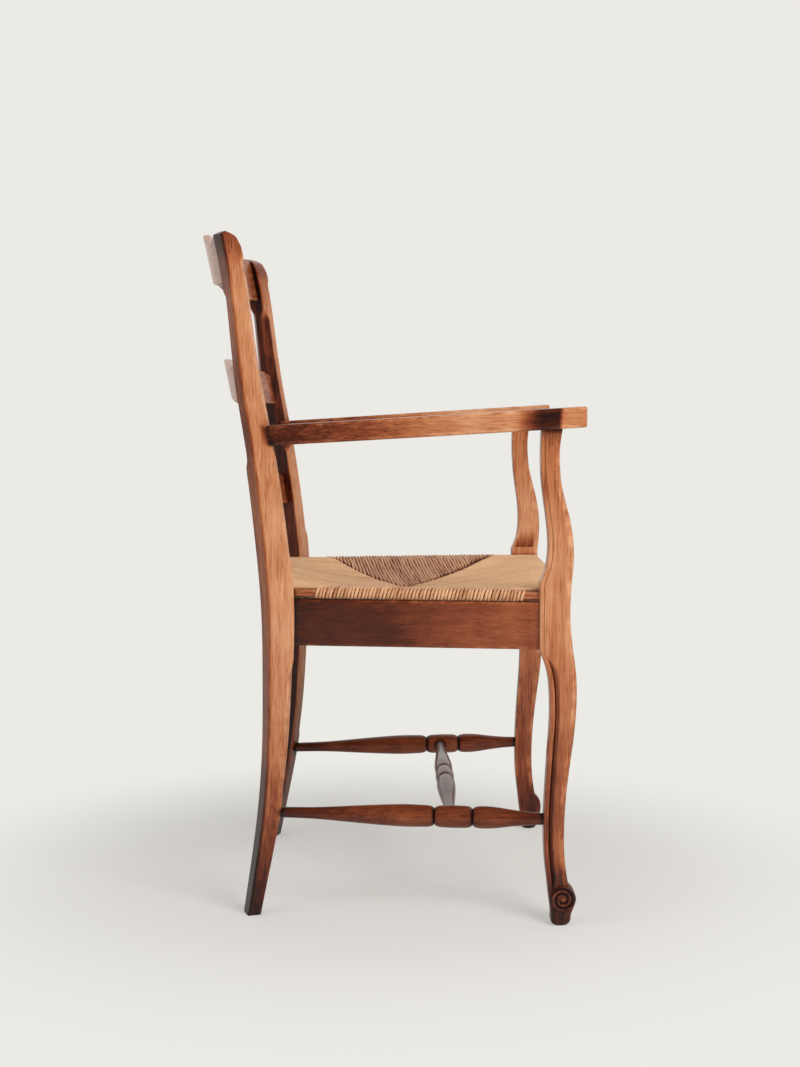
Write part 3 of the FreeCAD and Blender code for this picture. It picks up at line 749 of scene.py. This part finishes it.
def cord_route(edge_point, inward, reach, height, depth, lean, steps=None):
    """The middle line of a cord from the top seam, round the rail, to the seam below.

    depth is how far the line lies under the outer face of the seat, lean is how far it moves sideways
    from the roll's middle to its top, and steps is the number of steps over the top."""
    far = max(reach, ROLL_RADIUS + 2)

    def at(u, over):
        point = edge_point + inward * u
        top = height(point.x, point.y)
        tuck = TUCK_DEEP * max(0, 1 - (far - u) / TUCK_LONG) ** 2
        if over:
            return Vector((point.x, point.y, top - depth - tuck)) + lean
        return Vector((point.x, point.y, top - 2 * ROLL_RADIUS + depth + tuck)) - lean

    count = steps or max(3, int((far - ROLL_RADIUS) / CORD_STEP))
    runs = [ROLL_RADIUS + (far - ROLL_RADIUS) * ease_out(k / count) for k in range(count, -1, -1)]
    route = [at(u, True) for u in runs]
    tight = ROLL_RADIUS - depth
    for turn in range(70, -80, -20):
        a = math.radians(turn)
        point = edge_point + inward * (ROLL_RADIUS - tight * math.cos(a))
        route.append(Vector((point.x, point.y, ROLL_MIDDLE + tight * math.sin(a))) + lean * math.sin(a))
    route += [at(u, False) for u in reversed(runs)]
    return route


def ease_out(share):
    """Steps that get shorter towards the seam."""
    return 1 - (1 - share) ** 1.25


def seat_fields():
    """The four fields: both ends of the edge in plan, and the corners that their two seams start from."""
    edge = RAIL_INSET - CORD_STANDS

    def wrap(x, side):
        return Vector((x, side * side_y(x, edge)))

    left = wrap(WRAP_FRONT, 1), wrap(WRAP_BACK, 1)
    right = wrap(WRAP_BACK, -1), wrap(WRAP_FRONT, -1)
    front, back = (right[1], left[0]), (left[1], right[0])
    return {
        "rush_left": (*left, left),
        "rush_right": (*right, right),
        "rush_front": (Vector((FRONT_EDGE, -FRONT_HALF)), Vector((FRONT_EDGE, FRONT_HALF)), front),
        "rush_back": (Vector((BACK_EDGE, BACK_HALF)), Vector((BACK_EDGE, -BACK_HALF)), back),
    }


def cord_chain(route, along, half_wide, half_high, phases, lot):
    """Rings of a slightly uneven cord, whose marks are a point's strand, its lot and whether it is tucked in.

    A strand is the place round the cord, as a cosine and a sine, and the length from the cord's start."""
    rings = []
    travelled = 0
    for k, middle in enumerate(route):
        before, after = route[max(k - 1, 0)], route[min(k + 1, len(route) - 1)]
        normal = along.cross((after - before).normalized()).normalized()
        travelled += (middle - before).length
        sway = sum(far * math.sin(travelled / wave + phase) for (far, wave), phase in zip(CORD_SWAYS, phases))
        swell = 1 + CORD_SWELL[0] * math.sin(travelled / CORD_SWELL[1] + phases[2])
        ends = min(k, len(route) - 1 - k)
        taper = CORD_ENDS[ends] if ends < len(CORD_ENDS) else 1
        points = []
        for u, v, *_ in circle(1, CORD_SIDES):
            points.append((u, v, (u, v, travelled * MM), lot, 1 if ends == 0 else 0))
        rings.append((points, (middle, normal, taper, sway, swell)))

    def place(u, v, station):
        middle, normal, taper, sway, swell = station
        return middle + (along * (u * half_wide * taper + sway) + normal * (v * half_high * swell))
    return rings, place


def weave(name, sizes, start, end, corners, height, chance):
    """One field of cords side by side over its rail, and the stuffing between them, a dark sheet that stands
    for the shade between the cords.
    """
    run = (end - start).normalized()
    inward = Vector((-run.y, run.x))
    along = Vector((run.x, run.y, 0))
    length = (end - start).length
    count = round(length * MM / sizes.cord_pitch)
    pitch = length / count
    half_high = CORD_STANDS * CORD_HIGH
    skin, rows = Skin(), []
    for index in range(count):
        edge_point = start + run * (pitch * (index + 0.5))
        reach = seam_reach(edge_point, inward, corners)
        half_wide = pitch * (CORD_WIDE + chance.uniform(-CORD_VARIES, CORD_VARIES))
        lift = chance.uniform(*CORD_LIFT)
        phases = [chance.uniform(0, 6.28) for _ in range(3)]
        lot = chance.random()
        reach -= chance.uniform(0, CORD_SHORT)
        route = cord_route(edge_point, inward, reach, height, half_high - lift, along * CORD_LEAN)
        skin.cover(*cord_chain(route, along, half_wide, half_high, phases, lot))
        rows.append(cord_route(edge_point, inward, reach, height, half_high * 1.5, along * 0, STUFFING_STEPS))
    piece_name = name.replace("rush_", "") + "_field"
    strands, lots, tucked_shades = zip(*skin.marks)
    cords = new_piece(piece_name + "_cords", skin.points, skin.faces,
                      {"strand": strands, "lot": lots, "tuck": tucked_shades}, 60)
    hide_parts(name)
    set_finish(cords, "rush")

    wide = len(rows[0])
    sheet = [point for row in rows for point in row]
    quads = [(r * wide + k, r * wide + k + 1, (r + 1) * wide + k + 1, (r + 1) * wide + k)
             for r in range(len(rows) - 1) for k in range(wide - 1)]
    stuffing = new_piece(piece_name + "_stuffing", sheet, quads, {})
    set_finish(stuffing, "rush")
    return cords, stuffing


# Materials

def either_way(operation):
    """An operator on two values, and its reflected form."""
    return (lambda self, other: self.shader.work(operation, self, other),
            lambda self, other: self.shader.work(operation, other, self))


class Value:
    """A shader socket. Arithmetic on it adds the node that works it out."""

    __add__, __radd__ = either_way("ADD")
    __sub__, __rsub__ = either_way("SUBTRACT")
    __mul__, __rmul__ = either_way("MULTIPLY")

    def __init__(self, shader, socket):
        self.shader = shader
        self.socket = socket

    def step(self, low, high):
        """0 below low, 1 above high, smooth between."""
        return self.shader.node("ShaderNodeMapRange", {"interpolation_type": "SMOOTHSTEP"},
                                {"Value": self, "From Min": low, "From Max": high})


class Shader:
    """The node tree of a material or of a world."""

    def __init__(self, owner):
        owner.use_nodes = True
        self.owner = owner
        self.tree = owner.node_tree
        self.tree.nodes.clear()

    def node(self, kind, settings=None, inputs=None, output=0):
        """Adds a node with its settings and with values or links at its sockets."""
        made = self.tree.nodes.new(kind)
        for key, value in (settings or {}).items():
            if key == "stops":
                ramp = made.color_ramp
                while len(ramp.elements) < len(value):
                    ramp.elements.new(0.5)
                for element, (place, colour) in zip(ramp.elements, value):
                    element.position = place
                    element.color = colour
            else:
                setattr(made, key, value)
        for key, value in (inputs or {}).items():
            if isinstance(value, Value):
                self.tree.links.new(value.socket, made.inputs[key])
            else:
                made.inputs[key].default_value = value
        return Value(self, made.outputs[output]) if made.outputs else None

    def work(self, operation, *values):
        """One step of arithmetic, on vectors if any of the values is one."""
        kind = "ShaderNodeMath"
        if any(isinstance(value, Value) and value.socket.type == "VECTOR" for value in values):
            kind = "ShaderNodeVectorMath"
            values = [(value,) * 3 if isinstance(value, (int, float)) else value for value in values]
        return self.node(kind, {"operation": operation}, dict(enumerate(values)))

    def attribute(self, name, output="Fac"):
        return self.node("ShaderNodeAttribute", {"attribute_name": name}, output=output)

    def place(self):
        return self.node("ShaderNodeTexCoord", output="Object")

    def axis(self, vector, letter):
        return self.node("ShaderNodeSeparateXYZ", inputs={0: vector}, output=letter)

    def noise(self, vector, lot, scale, detail=2, distortion=0):
        """Soft noise from 0 to 1, another one for each lot."""
        return self.node("ShaderNodeTexNoise", {"noise_dimensions": "4D"},
                         {"Vector": vector, "W": lot, "Scale": scale, "Detail": detail,
                          "Distortion": distortion})

    def ramp(self, factor, stops):
        """A ramp through (place, shade) stops. A shade is seen on a screen, or a bare level of grey."""
        stops = [(spot, linear(shade) if np.ndim(shade) else (shade,) * 3 + (1,)) for spot, shade in stops]
        return self.node("ShaderNodeValToRGB", {"stops": stops}, {0: factor})

    def mix(self, factor, first, second):
        return self.node("ShaderNodeMix", {"data_type": "RGBA"}, {0: factor, 6: first, 7: second}, output=2)

    def ray(self, kind):
        return self.node("ShaderNodeLightPath", output=kind)

    def either(self, factor, first, second):
        """The first shader where the factor is 0, the second where it is 1."""
        return self.node("ShaderNodeMixShader", inputs={0: factor, 1: first, 2: second})

    def surface(self, **inputs):
        """Ends a material in a Principled shader. A name's underscores stand for spaces."""
        named = {key.replace("_", " "): value for key, value in inputs.items()}
        return self.finish(self.node("ShaderNodeBsdfPrincipled", inputs=named))

    def finish(self, shaded, kind="ShaderNodeOutputMaterial"):
        self.node(kind, inputs={"Surface": shaded})
        return self.owner


GREY_WAX = (0.5, 0.45, 0.45)


def polished_oak(name, colours, along, tone_span, tones, extra=None, greyed=0, figure=1):
    """Old polished oak. Tones give how dark the polish is along the grain, from 0, worn, to 1, black.

    figure is the strength of the grain."""
    shader = Shader(bpy.data.materials.new(name))
    place = shader.place()
    lot = shader.attribute("lot") * 9
    wear, dirt = shader.attribute("wear"), shader.attribute("dirt")
    with_grain = place * tuple(0.05 if letter == along else 1 for letter in "XYZ")

    low, high = (value * MM for value in tone_span)
    share = (shader.axis(place, along) - low) * (1 / (high - low))
    waver = (shader.noise(place, lot, 16) - 0.5) * 0.06
    tone = shader.ramp(share + waver, tones)

    bands = shader.noise(with_grain, lot, 90, detail=3, distortion=0.6)
    fibres = shader.noise(with_grain, lot, 420)
    pores = shader.noise(with_grain, lot, 700, detail=1).step(0.56, 0.7)
    blotches = shader.noise(place, lot, 22, detail=3)
    rubbed = shader.noise(place, lot, 60).step(0.35, 0.75)

    grain = (bands - 0.5) * 0.42 + (fibres - 0.5) * 0.42 + pores * 0.17
    depth = tone + grain * figure + (blotches - 0.5) * 0.3
    # The dirt mark darkens with dark polish and with painted shade in grooves, valleys and joints. The wear
    # mark lightens rubbed edges and paints highlights on rounded edges and carved ridges.
    depth = depth + dirt * 0.62 - wear * rubbed * 0.22
    if extra:
        depth = depth + extra(shader, place, lot)
    colour = shader.ramp(depth, [
        (0, colours.oak_worn), (0.22, colours.oak_pale), (0.42, colours.oak_amber),
        (0.62, colours.oak_red), (0.8, colours.oak_brown), (1, colours.oak_black)])
    if greyed:
        colour = shader.mix(greyed, colour, linear(GREY_WAX))
    height = fibres * 0.5 + bands * 0.5 - pores * 0.7
    normal = shader.node("ShaderNodeBump", inputs={"Strength": 0.22, "Distance": 0.0006, "Height": height})
    roughness = 0.3 + blotches * 0.2 + dirt * 0.15
    return shader.surface(Base_Color=colour, Roughness=roughness, Normal=normal, Specular_IOR_Level=0.07,
                          Coat_Weight=0.55, Coat_Roughness=0.12)


# Where the scorch sets in and where it ends, in metres as a material sees them
BURNT_START = (0.165, 0.215)
BURNT_END = (0.232, 0.24)


def burnt_patch(shader, place, lot):
    """The scorched stretch of the right arm, above its support."""
    x = shader.axis(place, "X") + (shader.noise(place, lot, 70, detail=3) - 0.5) * 0.01
    side = shader.axis(place, "Y").step(0.0, -0.02)
    return x.step(*BURNT_START) * (1 - x.step(*BURNT_END)) * side * 0.62


def woven_rush(name, colours, sizes, shade, stretch):
    """Twisted rush cord: fine leaves that wind round it, with painted shade in the grooves of its twist and
    where it tucks in.
    shade is painted shade: how much darker the field is drawn for the way it meets the light.

    The bleaching has its own scale along each axis, given by stretch."""
    shader = Shader(bpy.data.materials.new(name))
    strand = shader.attribute("strand", output="Vector")
    lot, tuck = shader.attribute("lot"), shader.attribute("tuck")
    turn = shader.work("ARCTAN2", shader.axis(strand, "Y"), shader.axis(strand, "X"))
    length = shader.axis(strand, "Z")
    winding = turn + length * (2 * math.pi / sizes.cord_twist)
    ply = shader.work("SINE", winding * 2) * 0.5 + 0.5
    leaves = shader.node("ShaderNodeCombineXYZ", inputs={0: winding * 0.9, 1: length * 14, 2: lot * 40})
    fine = shader.noise(leaves, lot * 5, 2.4, detail=3)
    patches = shader.noise(shader.place() * stretch, 0.3, 50, detail=3)
    depth = shade + (fine - 0.5) * 0.75 + (patches - 0.5) * 0.95 + (lot - 0.5) * 0.28
    # ply paints shade in the grooves of the twist, and the tuck mark paints shade where a cord ends in the
    # seam.
    depth = depth - ply * 0.16 + tuck * 0.6
    colour = shader.ramp(depth, [(0, colours.rush_pale), (0.35, colours.rush_gold),
                                 (0.72, colours.rush_brown), (1, colours.rush_gap_shade)])
    normal = shader.node("ShaderNodeBump", inputs={
        "Strength": 0.5, "Distance": 0.0005, "Height": ply * 0.6 + fine * 0.5})
    return shader.surface(Base_Color=colour, Roughness=0.5 + fine * 0.2, Normal=normal,
                          Coat_Weight=0.08, Coat_Roughness=0.35)


# A dark sheet under the cords, painted as the shade seen between them.
def shaded_stuffing(name, colours):
    shader = Shader(bpy.data.materials.new(name))
    mottle = shader.noise(shader.place(), 0.3, 160)
    colour = shader.ramp(mottle, [(0.3, colours.rush_gap_shade), (0.8, colours.oak_brown)])
    return shader.surface(Base_Color=colour, Roughness=0.9)


# Dirt and painted shade round the joints

def boxes_meet(a, b, reach):
    (low_a, high_a), (low_b, high_b) = ((piece.bound_box[0], piece.bound_box[6]) for piece in (a, b))
    return all(low_a[i] - reach < high_b[i] and low_b[i] - reach < high_a[i] for i in range(3))


def gather_grime_and_shade(pieces, reach):
    """Darkens the dirt value of each piece near the other pieces, as dark wax and as painted shade where the
    pieces meet.
    """
    trees = {piece: BVHTree.FromPolygons([v.co for v in piece.data.vertices],
                                         [f.vertices for f in piece.data.polygons]) for piece in pieces}
    for piece in pieces:
        near = [trees[other] for other in pieces if other is not piece and boxes_meet(piece, other, reach)]
        dirt = piece.data.attributes["dirt"].data
        for i, vertex in enumerate(piece.data.vertices):
            gaps = [tree.find_nearest(vertex.co, reach)[3] for tree in near]
            gaps = [gap for gap in gaps if gap is not None]
            if gaps:
                dirt[i].value = max(dirt[i].value, (1 - min(gaps) / reach) ** 1.5)


# Operators

class ChairOperator(bpy.types.Operator):
    """What the chair's operators share."""

    bl_options = {"REGISTER", "UNDO"}


class CHAIR_OT_posts(ChairOperator):
    """Make the two raked back posts with their stopped chamfers"""

    bl_idname = "chair.posts"
    bl_label = "Back Posts"

    def execute(self, context):
        tones = [(0, 0.95), (0.06, 0.8), (0.15, 0.6), (0.24, 0.36), (0.3, 0.3), (0.45, 0.25), (0.57, 0.21),
                 (0.65, 0.36), (0.76, 0.28), (0.86, 0.24), (0.92, 0.46), (0.945, 0.62)]
        oak = polished_oak("oak_post", context.scene.chair_colours, "Z", (0, 1000), tones)
        for number, (name, side) in enumerate(SIDES):
            wooden("post_" + name, "back_post_" + name, 0.13 + 0.37 * number, oak,
                   post_chain(context.scene.chair_sizes, side))
        return {"FINISHED"}


class CHAIR_OT_slats(ChairOperator):
    """Make the three bowed slats of the back"""

    bl_idname = "chair.slats"
    bl_label = "Back Slats"

    def execute(self, context):
        tones = [(0, 0.62), (0.2, 0.44), (0.5, 0.36), (0.8, 0.44), (1, 0.62)]
        oak = polished_oak("oak_slat", context.scene.chair_colours, "Y", (-230, 230), tones)
        for number, slat in enumerate(SLATS):
            wooden(slat.node.replace("slat_", "") + "_slat", slat.node, 0.21 + 0.17 * number, oak,
                   slat_chain(context.scene.chair_sizes, slat))
        return {"FINISHED"}


class CHAIR_OT_front_legs(ChairOperator):
    """Make the front legs, each in one with its arm support, its bead and its scroll foot"""

    bl_idname = "chair.front_legs"
    bl_label = "Front Legs"

    def execute(self, context):
        tones = [(0, 0.96), (0.06, 0.86), (0.1, 0.78), (0.15, 0.6), (0.24, 0.6), (0.36, 0.55), (0.5, 0.4),
                 (0.6, 0.28), (0.8, 0.28), (0.88, 0.42), (0.98, 0.52)]
        oak = polished_oak("oak_leg", context.scene.chair_colours, "Z", (0, 690), tones)
        for number, (name, side) in enumerate(SIDES):
            wooden("leg_" + name, "front_leg_" + name, 0.31 + 0.4 * number, oak,
                   *leg_chains(context.scene.chair_sizes, side))
        return {"FINISHED"}


class CHAIR_OT_arms(ChairOperator):
    """Make the two flat bowed arms"""

    bl_idname = "chair.arms"
    bl_label = "Arms"

    def execute(self, context):
        tones = [(0, 0.84), (0.16, 0.74), (0.36, 0.54), (0.5, 0.42), (0.66, 0.26), (0.9, 0.3), (1, 0.34)]
        oak = polished_oak("oak_arm", context.scene.chair_colours, "X", (-170, 272), tones, burnt_patch)
        for number, (name, side) in enumerate(SIDES):
            wooden("arm_rest_" + name, "arm_" + name, 0.27 + 0.29 * number, oak,
                   arm_chain(context.scene.chair_sizes, side))
        return {"FINISHED"}


class CHAIR_OT_seat_frame(ChairOperator):
    """Make the aprons and the four rails that the rush is woven over"""

    bl_idname = "chair.seat_frame"
    bl_label = "Seat Frame"

    def execute(self, context):
        sizes, colours = context.scene.chair_sizes, context.scene.chair_colours
        apron_tones = [(0, 0.95), (0.1, 0.88), (0.4, 0.8), (0.65, 0.68), (0.85, 0.57), (1, 0.62)]
        side_oak = polished_oak("oak_side_apron", colours, "X", (-130, 215), apron_tones, figure=0.45)
        rail_oak = polished_oak("oak_rail", colours, "X", (-130, 215), [(0, 0.5), (1, 0.5)])
        cross_oak = polished_oak("oak_cross_board", colours, "Y", (-254, 254),
                                 [(0, 0.85), (0.5, 0.6), (1, 0.85)])
        for number, (name, side) in enumerate(SIDES):
            wooden("side_apron_" + name, "apron_" + name, 0.4 + 0.3 * number, side_oak,
                   side_board_chain(sizes, side, 0, APRON_THICK, APRON_LOW, APRON_TOP))
            wooden("side_rail_" + name, "seat_rail_" + name, 0.5 + 0.3 * number, rail_oak,
                   side_board_chain(sizes, side, RAIL_INSET, RAIL_WIDE, RAIL_LOW, RAIL_TOP))
        half = LEG_OUTER - LEG_THICK - BLOCK_PROUD + BOARD_SINK
        rear_half = straight(POST_SPREAD)(APRON_TOP) - POST_THICK / 2 + BOARD_SINK
        shaped = batten(both_ways(FRONT_APRON_EDGE))
        level, rail_low = straight([(0, APRON_LOW)]), straight([(0, RAIL_LOW)])
        boards = [
            ("front_apron", "apron_front", APRON_FRONT_X, APRON_THICK, shaped, APRON_TOP, half),
            ("back_apron", "apron_back", APRON_BACK_X, APRON_THICK, level, APRON_TOP, rear_half),
            ("front_rail", "seat_rail_front", RAIL_FRONT_X, RAIL_WIDE, rail_low, RAIL_TOP, half),
            ("back_rail", "seat_rail_back", APRON_BACK_X, RAIL_WIDE, rail_low, RAIL_TOP, rear_half),
        ]
        for number, (name, node, x, thick, low, high, reach) in enumerate(boards):
            wooden(name, node, 0.17 + 0.21 * number, cross_oak,
                   cross_board_chain(sizes, x, x + thick, low, high, reach))
        return {"FINISHED"}


class CHAIR_OT_stretchers(ChairOperator):
    """Turn the two side stretchers and the cross stretcher"""

    bl_idname = "chair.stretchers"
    bl_label = "Stretchers"

    def execute(self, context):
        colours = context.scene.chair_colours
        tones = [(0, 0.85), (0.3, 0.72), (0.5, 0.7), (0.9, 0.74), (1, 0.86)]
        side_oak = polished_oak("oak_stretcher", colours, "X", (-148, 218), tones, figure=0.6)
        cross_oak = polished_oak("oak_cross_stretcher", colours, "Y", (-240, 240),
                                 [(0, 0.86), (0.5, 0.72), (1, 0.86)], greyed=0.4)
        for number, (name, side) in enumerate(SIDES):
            ends = [(x, side * y, STRETCHER_Z) for x, y in (STRETCHER_BACK, STRETCHER_FRONT)]
            wooden("side_stretcher_" + name, "stretcher_" + name, 0.6 + 0.2 * number, side_oak,
                   turned_chain(*ends, SIDE_TURNING, SIDE_CUTS))
        reach = straight([STRETCHER_BACK, STRETCHER_FRONT])(STRETCHER_CROSS_X) - STRETCHER_SHORT
        ends = [(STRETCHER_CROSS_X, y, STRETCHER_Z) for y in (-reach, reach)]
        wooden("cross_stretcher", "stretcher_cross", 0.44, cross_oak,
               turned_chain(*ends, CROSS_TURNING, CROSS_CUTS))
        return {"FINISHED"}


class CHAIR_OT_patina_and_shade(ChairOperator):
    """Gather dark wax and painted shade where the wooden pieces meet"""

    bl_idname = "chair.patina"
    bl_label = "Patina"

    def execute(self, context):
        bpy.context.view_layer.update()
        pieces = [piece for piece in bpy.data.objects if piece.get("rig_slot") == "oak"]
        if not pieces:
            raise RuntimeError("make the wooden pieces first")
        gather_grime_and_shade(pieces, context.scene.chair_sizes.grime_and_shade_reach)
        return {"FINISHED"}


class CHAIR_OT_rush_seat(ChairOperator):
    """Weave the four fields of the rush seat, cord by cord"""

    bl_idname = "chair.rush_seat"
    bl_label = "Rush Seat"

    def execute(self, context):
        sizes, colours = context.scene.chair_sizes, context.scene.chair_colours
        # Both materials are the same rush: the side fields get painted shade and the front and back fields
        # painted light.
        across = woven_rush("rush_across_shaded", colours, sizes, 0.45, (1, 0.2, 1))
        lengthways = woven_rush("rush_lengthways_lit", colours, sizes, 0.18, (0.2, 1, 1))
        dark = shaded_stuffing("rush_stuffing", colours)
        height = seat_dish()
        chance = random.Random(4)
        for name, (start, end, corners) in seat_fields().items():
            cords, stuffing = weave(name, sizes, start, end, corners, height, chance)
            cords.data.materials.append(lengthways if name in ("rush_front", "rush_back") else across)
            stuffing.data.materials.append(dark)
        return {"FINISHED"}


# Stage, with the camera as it was worked out from the photo

CAMERA_PLACE = (2, -2583, 730)
CAMERA_PITCH = 4.58
CAMERA_YAW = 0.42
CAMERA_FOCAL_PIXELS = 1700
PHOTO_LONG_SIDE = 1067
SENSOR = 36
LAMP_TARGET = (0, 0, 480)
WINDOW_PLACE, WINDOW_SIZE = (1500, -2300, 2100), 1500
FILL_PLACE, FILL_SIZE = (-2400, -1500, 1500), 1800
FLOOR_HALF = 12000
FADE = (0.3, 0.85)
FADE_LEAST = 0.4
WALL_SIDE = (-0.3, 0.75)


def soft_lamp(name, place, size, power):
    """A square lamp that points at the chair and isn't seen in the polish."""
    light = bpy.data.lights.new(name, "AREA")
    light.size = size * MM
    light.energy = power
    lamp = new_object(name, light)
    lamp.location = Vector(place) * MM
    lamp.visible_glossy = False
    lamp.rotation_euler = (Vector(LAMP_TARGET) - Vector(place)).to_track_quat("-Z", "Y").to_euler()


class CHAIR_OT_stage(ChairOperator):
    """Set up the pale floor, the soft lamps and the camera"""

    bl_idname = "chair.stage"
    bl_label = "Stage"

    def execute(self, context):
        studio = context.scene.chair_studio
        self.make_floor(studio)
        self.make_room(context.scene, studio)
        soft_lamp("window", WINDOW_PLACE, WINDOW_SIZE, studio.key_power)
        soft_lamp("fill", FILL_PLACE, FILL_SIZE, studio.fill_power)
        view = bpy.data.cameras.new("camera")
        view.sensor_width = SENSOR
        view.lens = CAMERA_FOCAL_PIXELS * SENSOR / PHOTO_LONG_SIDE
        camera = new_object("camera", view)
        camera.location = Vector(CAMERA_PLACE) * MM
        camera.rotation_euler = (math.radians(90 - CAMERA_PITCH), 0, math.radians(-CAMERA_YAW))
        context.scene.camera = camera
        context.scene.view_settings.view_transform = "Standard"
        return {"FINISHED"}

    def make_floor(self, studio):
        """A floor that fades to the colour of the wall away from the chair."""
        half = FLOOR_HALF * MM
        mesh = bpy.data.meshes.new("floor")
        corners = [(-half, -half, 0), (half, -half, 0), (half, half, 0), (-half, half, 0)]
        mesh.from_pydata(corners, [], [(0, 1, 2, 3)])
        floor = new_object("floor", mesh)
        shader = Shader(bpy.data.materials.new("pale_floor"))
        shade = linear(studio.floor)
        place = shader.place()
        mottle = shader.noise(place, 0.1, 3)
        colour = shader.mix(mottle, shade, tuple(0.97 * part for part in shade[:3]) + (1,))
        lit = shader.node("ShaderNodeBsdfPrincipled", inputs={"Base Color": colour, "Roughness": 0.9})
        wall = shader.node("ShaderNodeEmission", inputs={"Color": linear(studio.backdrop), "Strength": 1})
        away = shader.node("ShaderNodeVectorMath", {"operation": "LENGTH"}, {0: place}, output="Value")
        faded = (FADE_LEAST + away.step(*FADE) * (1 - FADE_LEAST)) * shader.ray("Is Camera Ray")
        mesh.materials.append(shader.finish(shader.either(faded, lit, wall)))
        floor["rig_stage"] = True

    def make_room(self, scene, studio):
        """A white wall behind the chair, for the camera and for reflections, in a dimmer room."""
        shader = Shader(bpy.data.worlds.new("room"))
        white = (1, 1, 1)
        wall, dim, even = (
            shader.node("ShaderNodeBackground", inputs={"Color": linear(colour), "Strength": strength})
            for colour, strength in ((studio.backdrop, 1), (white, studio.dim), (white, studio.room)))
        way = shader.node("ShaderNodeTexCoord", output="Generated")
        reflected = shader.either(shader.axis(way, "Y").step(*WALL_SIDE), dim, wall)
        seen = shader.either(shader.ray("Is Glossy Ray"), even, reflected)
        seen = shader.either(shader.ray("Is Camera Ray"), seen, wall)
        scene.world = shader.finish(seen, "ShaderNodeOutputWorld")


OPERATORS = [CHAIR_OT_posts, CHAIR_OT_slats, CHAIR_OT_front_legs, CHAIR_OT_arms, CHAIR_OT_seat_frame,
             CHAIR_OT_stretchers, CHAIR_OT_patina_and_shade, CHAIR_OT_rush_seat, CHAIR_OT_stage]


class CHAIR_PT_panel(bpy.types.Panel):
    """Lists the sizes, the colours and the steps that make the chair"""

    bl_idname = "CHAIR_PT_panel"
    bl_label = "Ladderback Armchair"
    bl_space_type = "VIEW_3D"
    bl_region_type = "UI"
    bl_category = "Chair"

    def draw(self, context):
        for group in (context.scene.chair_sizes, context.scene.chair_colours, context.scene.chair_studio):
            box = self.layout.box()
            for name in group.bl_rna.properties.keys():
                if name not in ("rna_type", "name"):
                    box.prop(group, name)
        for operator in OPERATORS:
            self.layout.operator(operator.bl_idname)


CLASSES = [ChairSizes, ChairColours, StudioLight, *OPERATORS, CHAIR_PT_panel]


def register():
    for cls in CLASSES:
        bpy.utils.register_class(cls)
    bpy.types.Scene.chair_sizes = PointerProperty(type=ChairSizes)
    bpy.types.Scene.chair_colours = PointerProperty(type=ChairColours)
    bpy.types.Scene.chair_studio = PointerProperty(type=StudioLight)


def unregister():
    del bpy.types.Scene.chair_sizes, bpy.types.Scene.chair_colours, bpy.types.Scene.chair_studio
    for cls in reversed(CLASSES):
        bpy.utils.unregister_class(cls)


def main():
    register()
    bpy.ops.chair.posts()
    bpy.ops.chair.slats()
    bpy.ops.chair.front_legs()
    bpy.ops.chair.arms()
    bpy.ops.chair.seat_frame()
    bpy.ops.chair.stretchers()
    bpy.ops.chair.patina()
    bpy.ops.chair.rush_seat()
    bpy.ops.chair.stage()
    bpy.context.view_layer.update()
    boxes = {"cad": CAD_BOX, "visual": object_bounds()}
    {key: [list(corner) for corner in box] for key, box in boxes.items()}


if __name__ == "__main__":
    main()
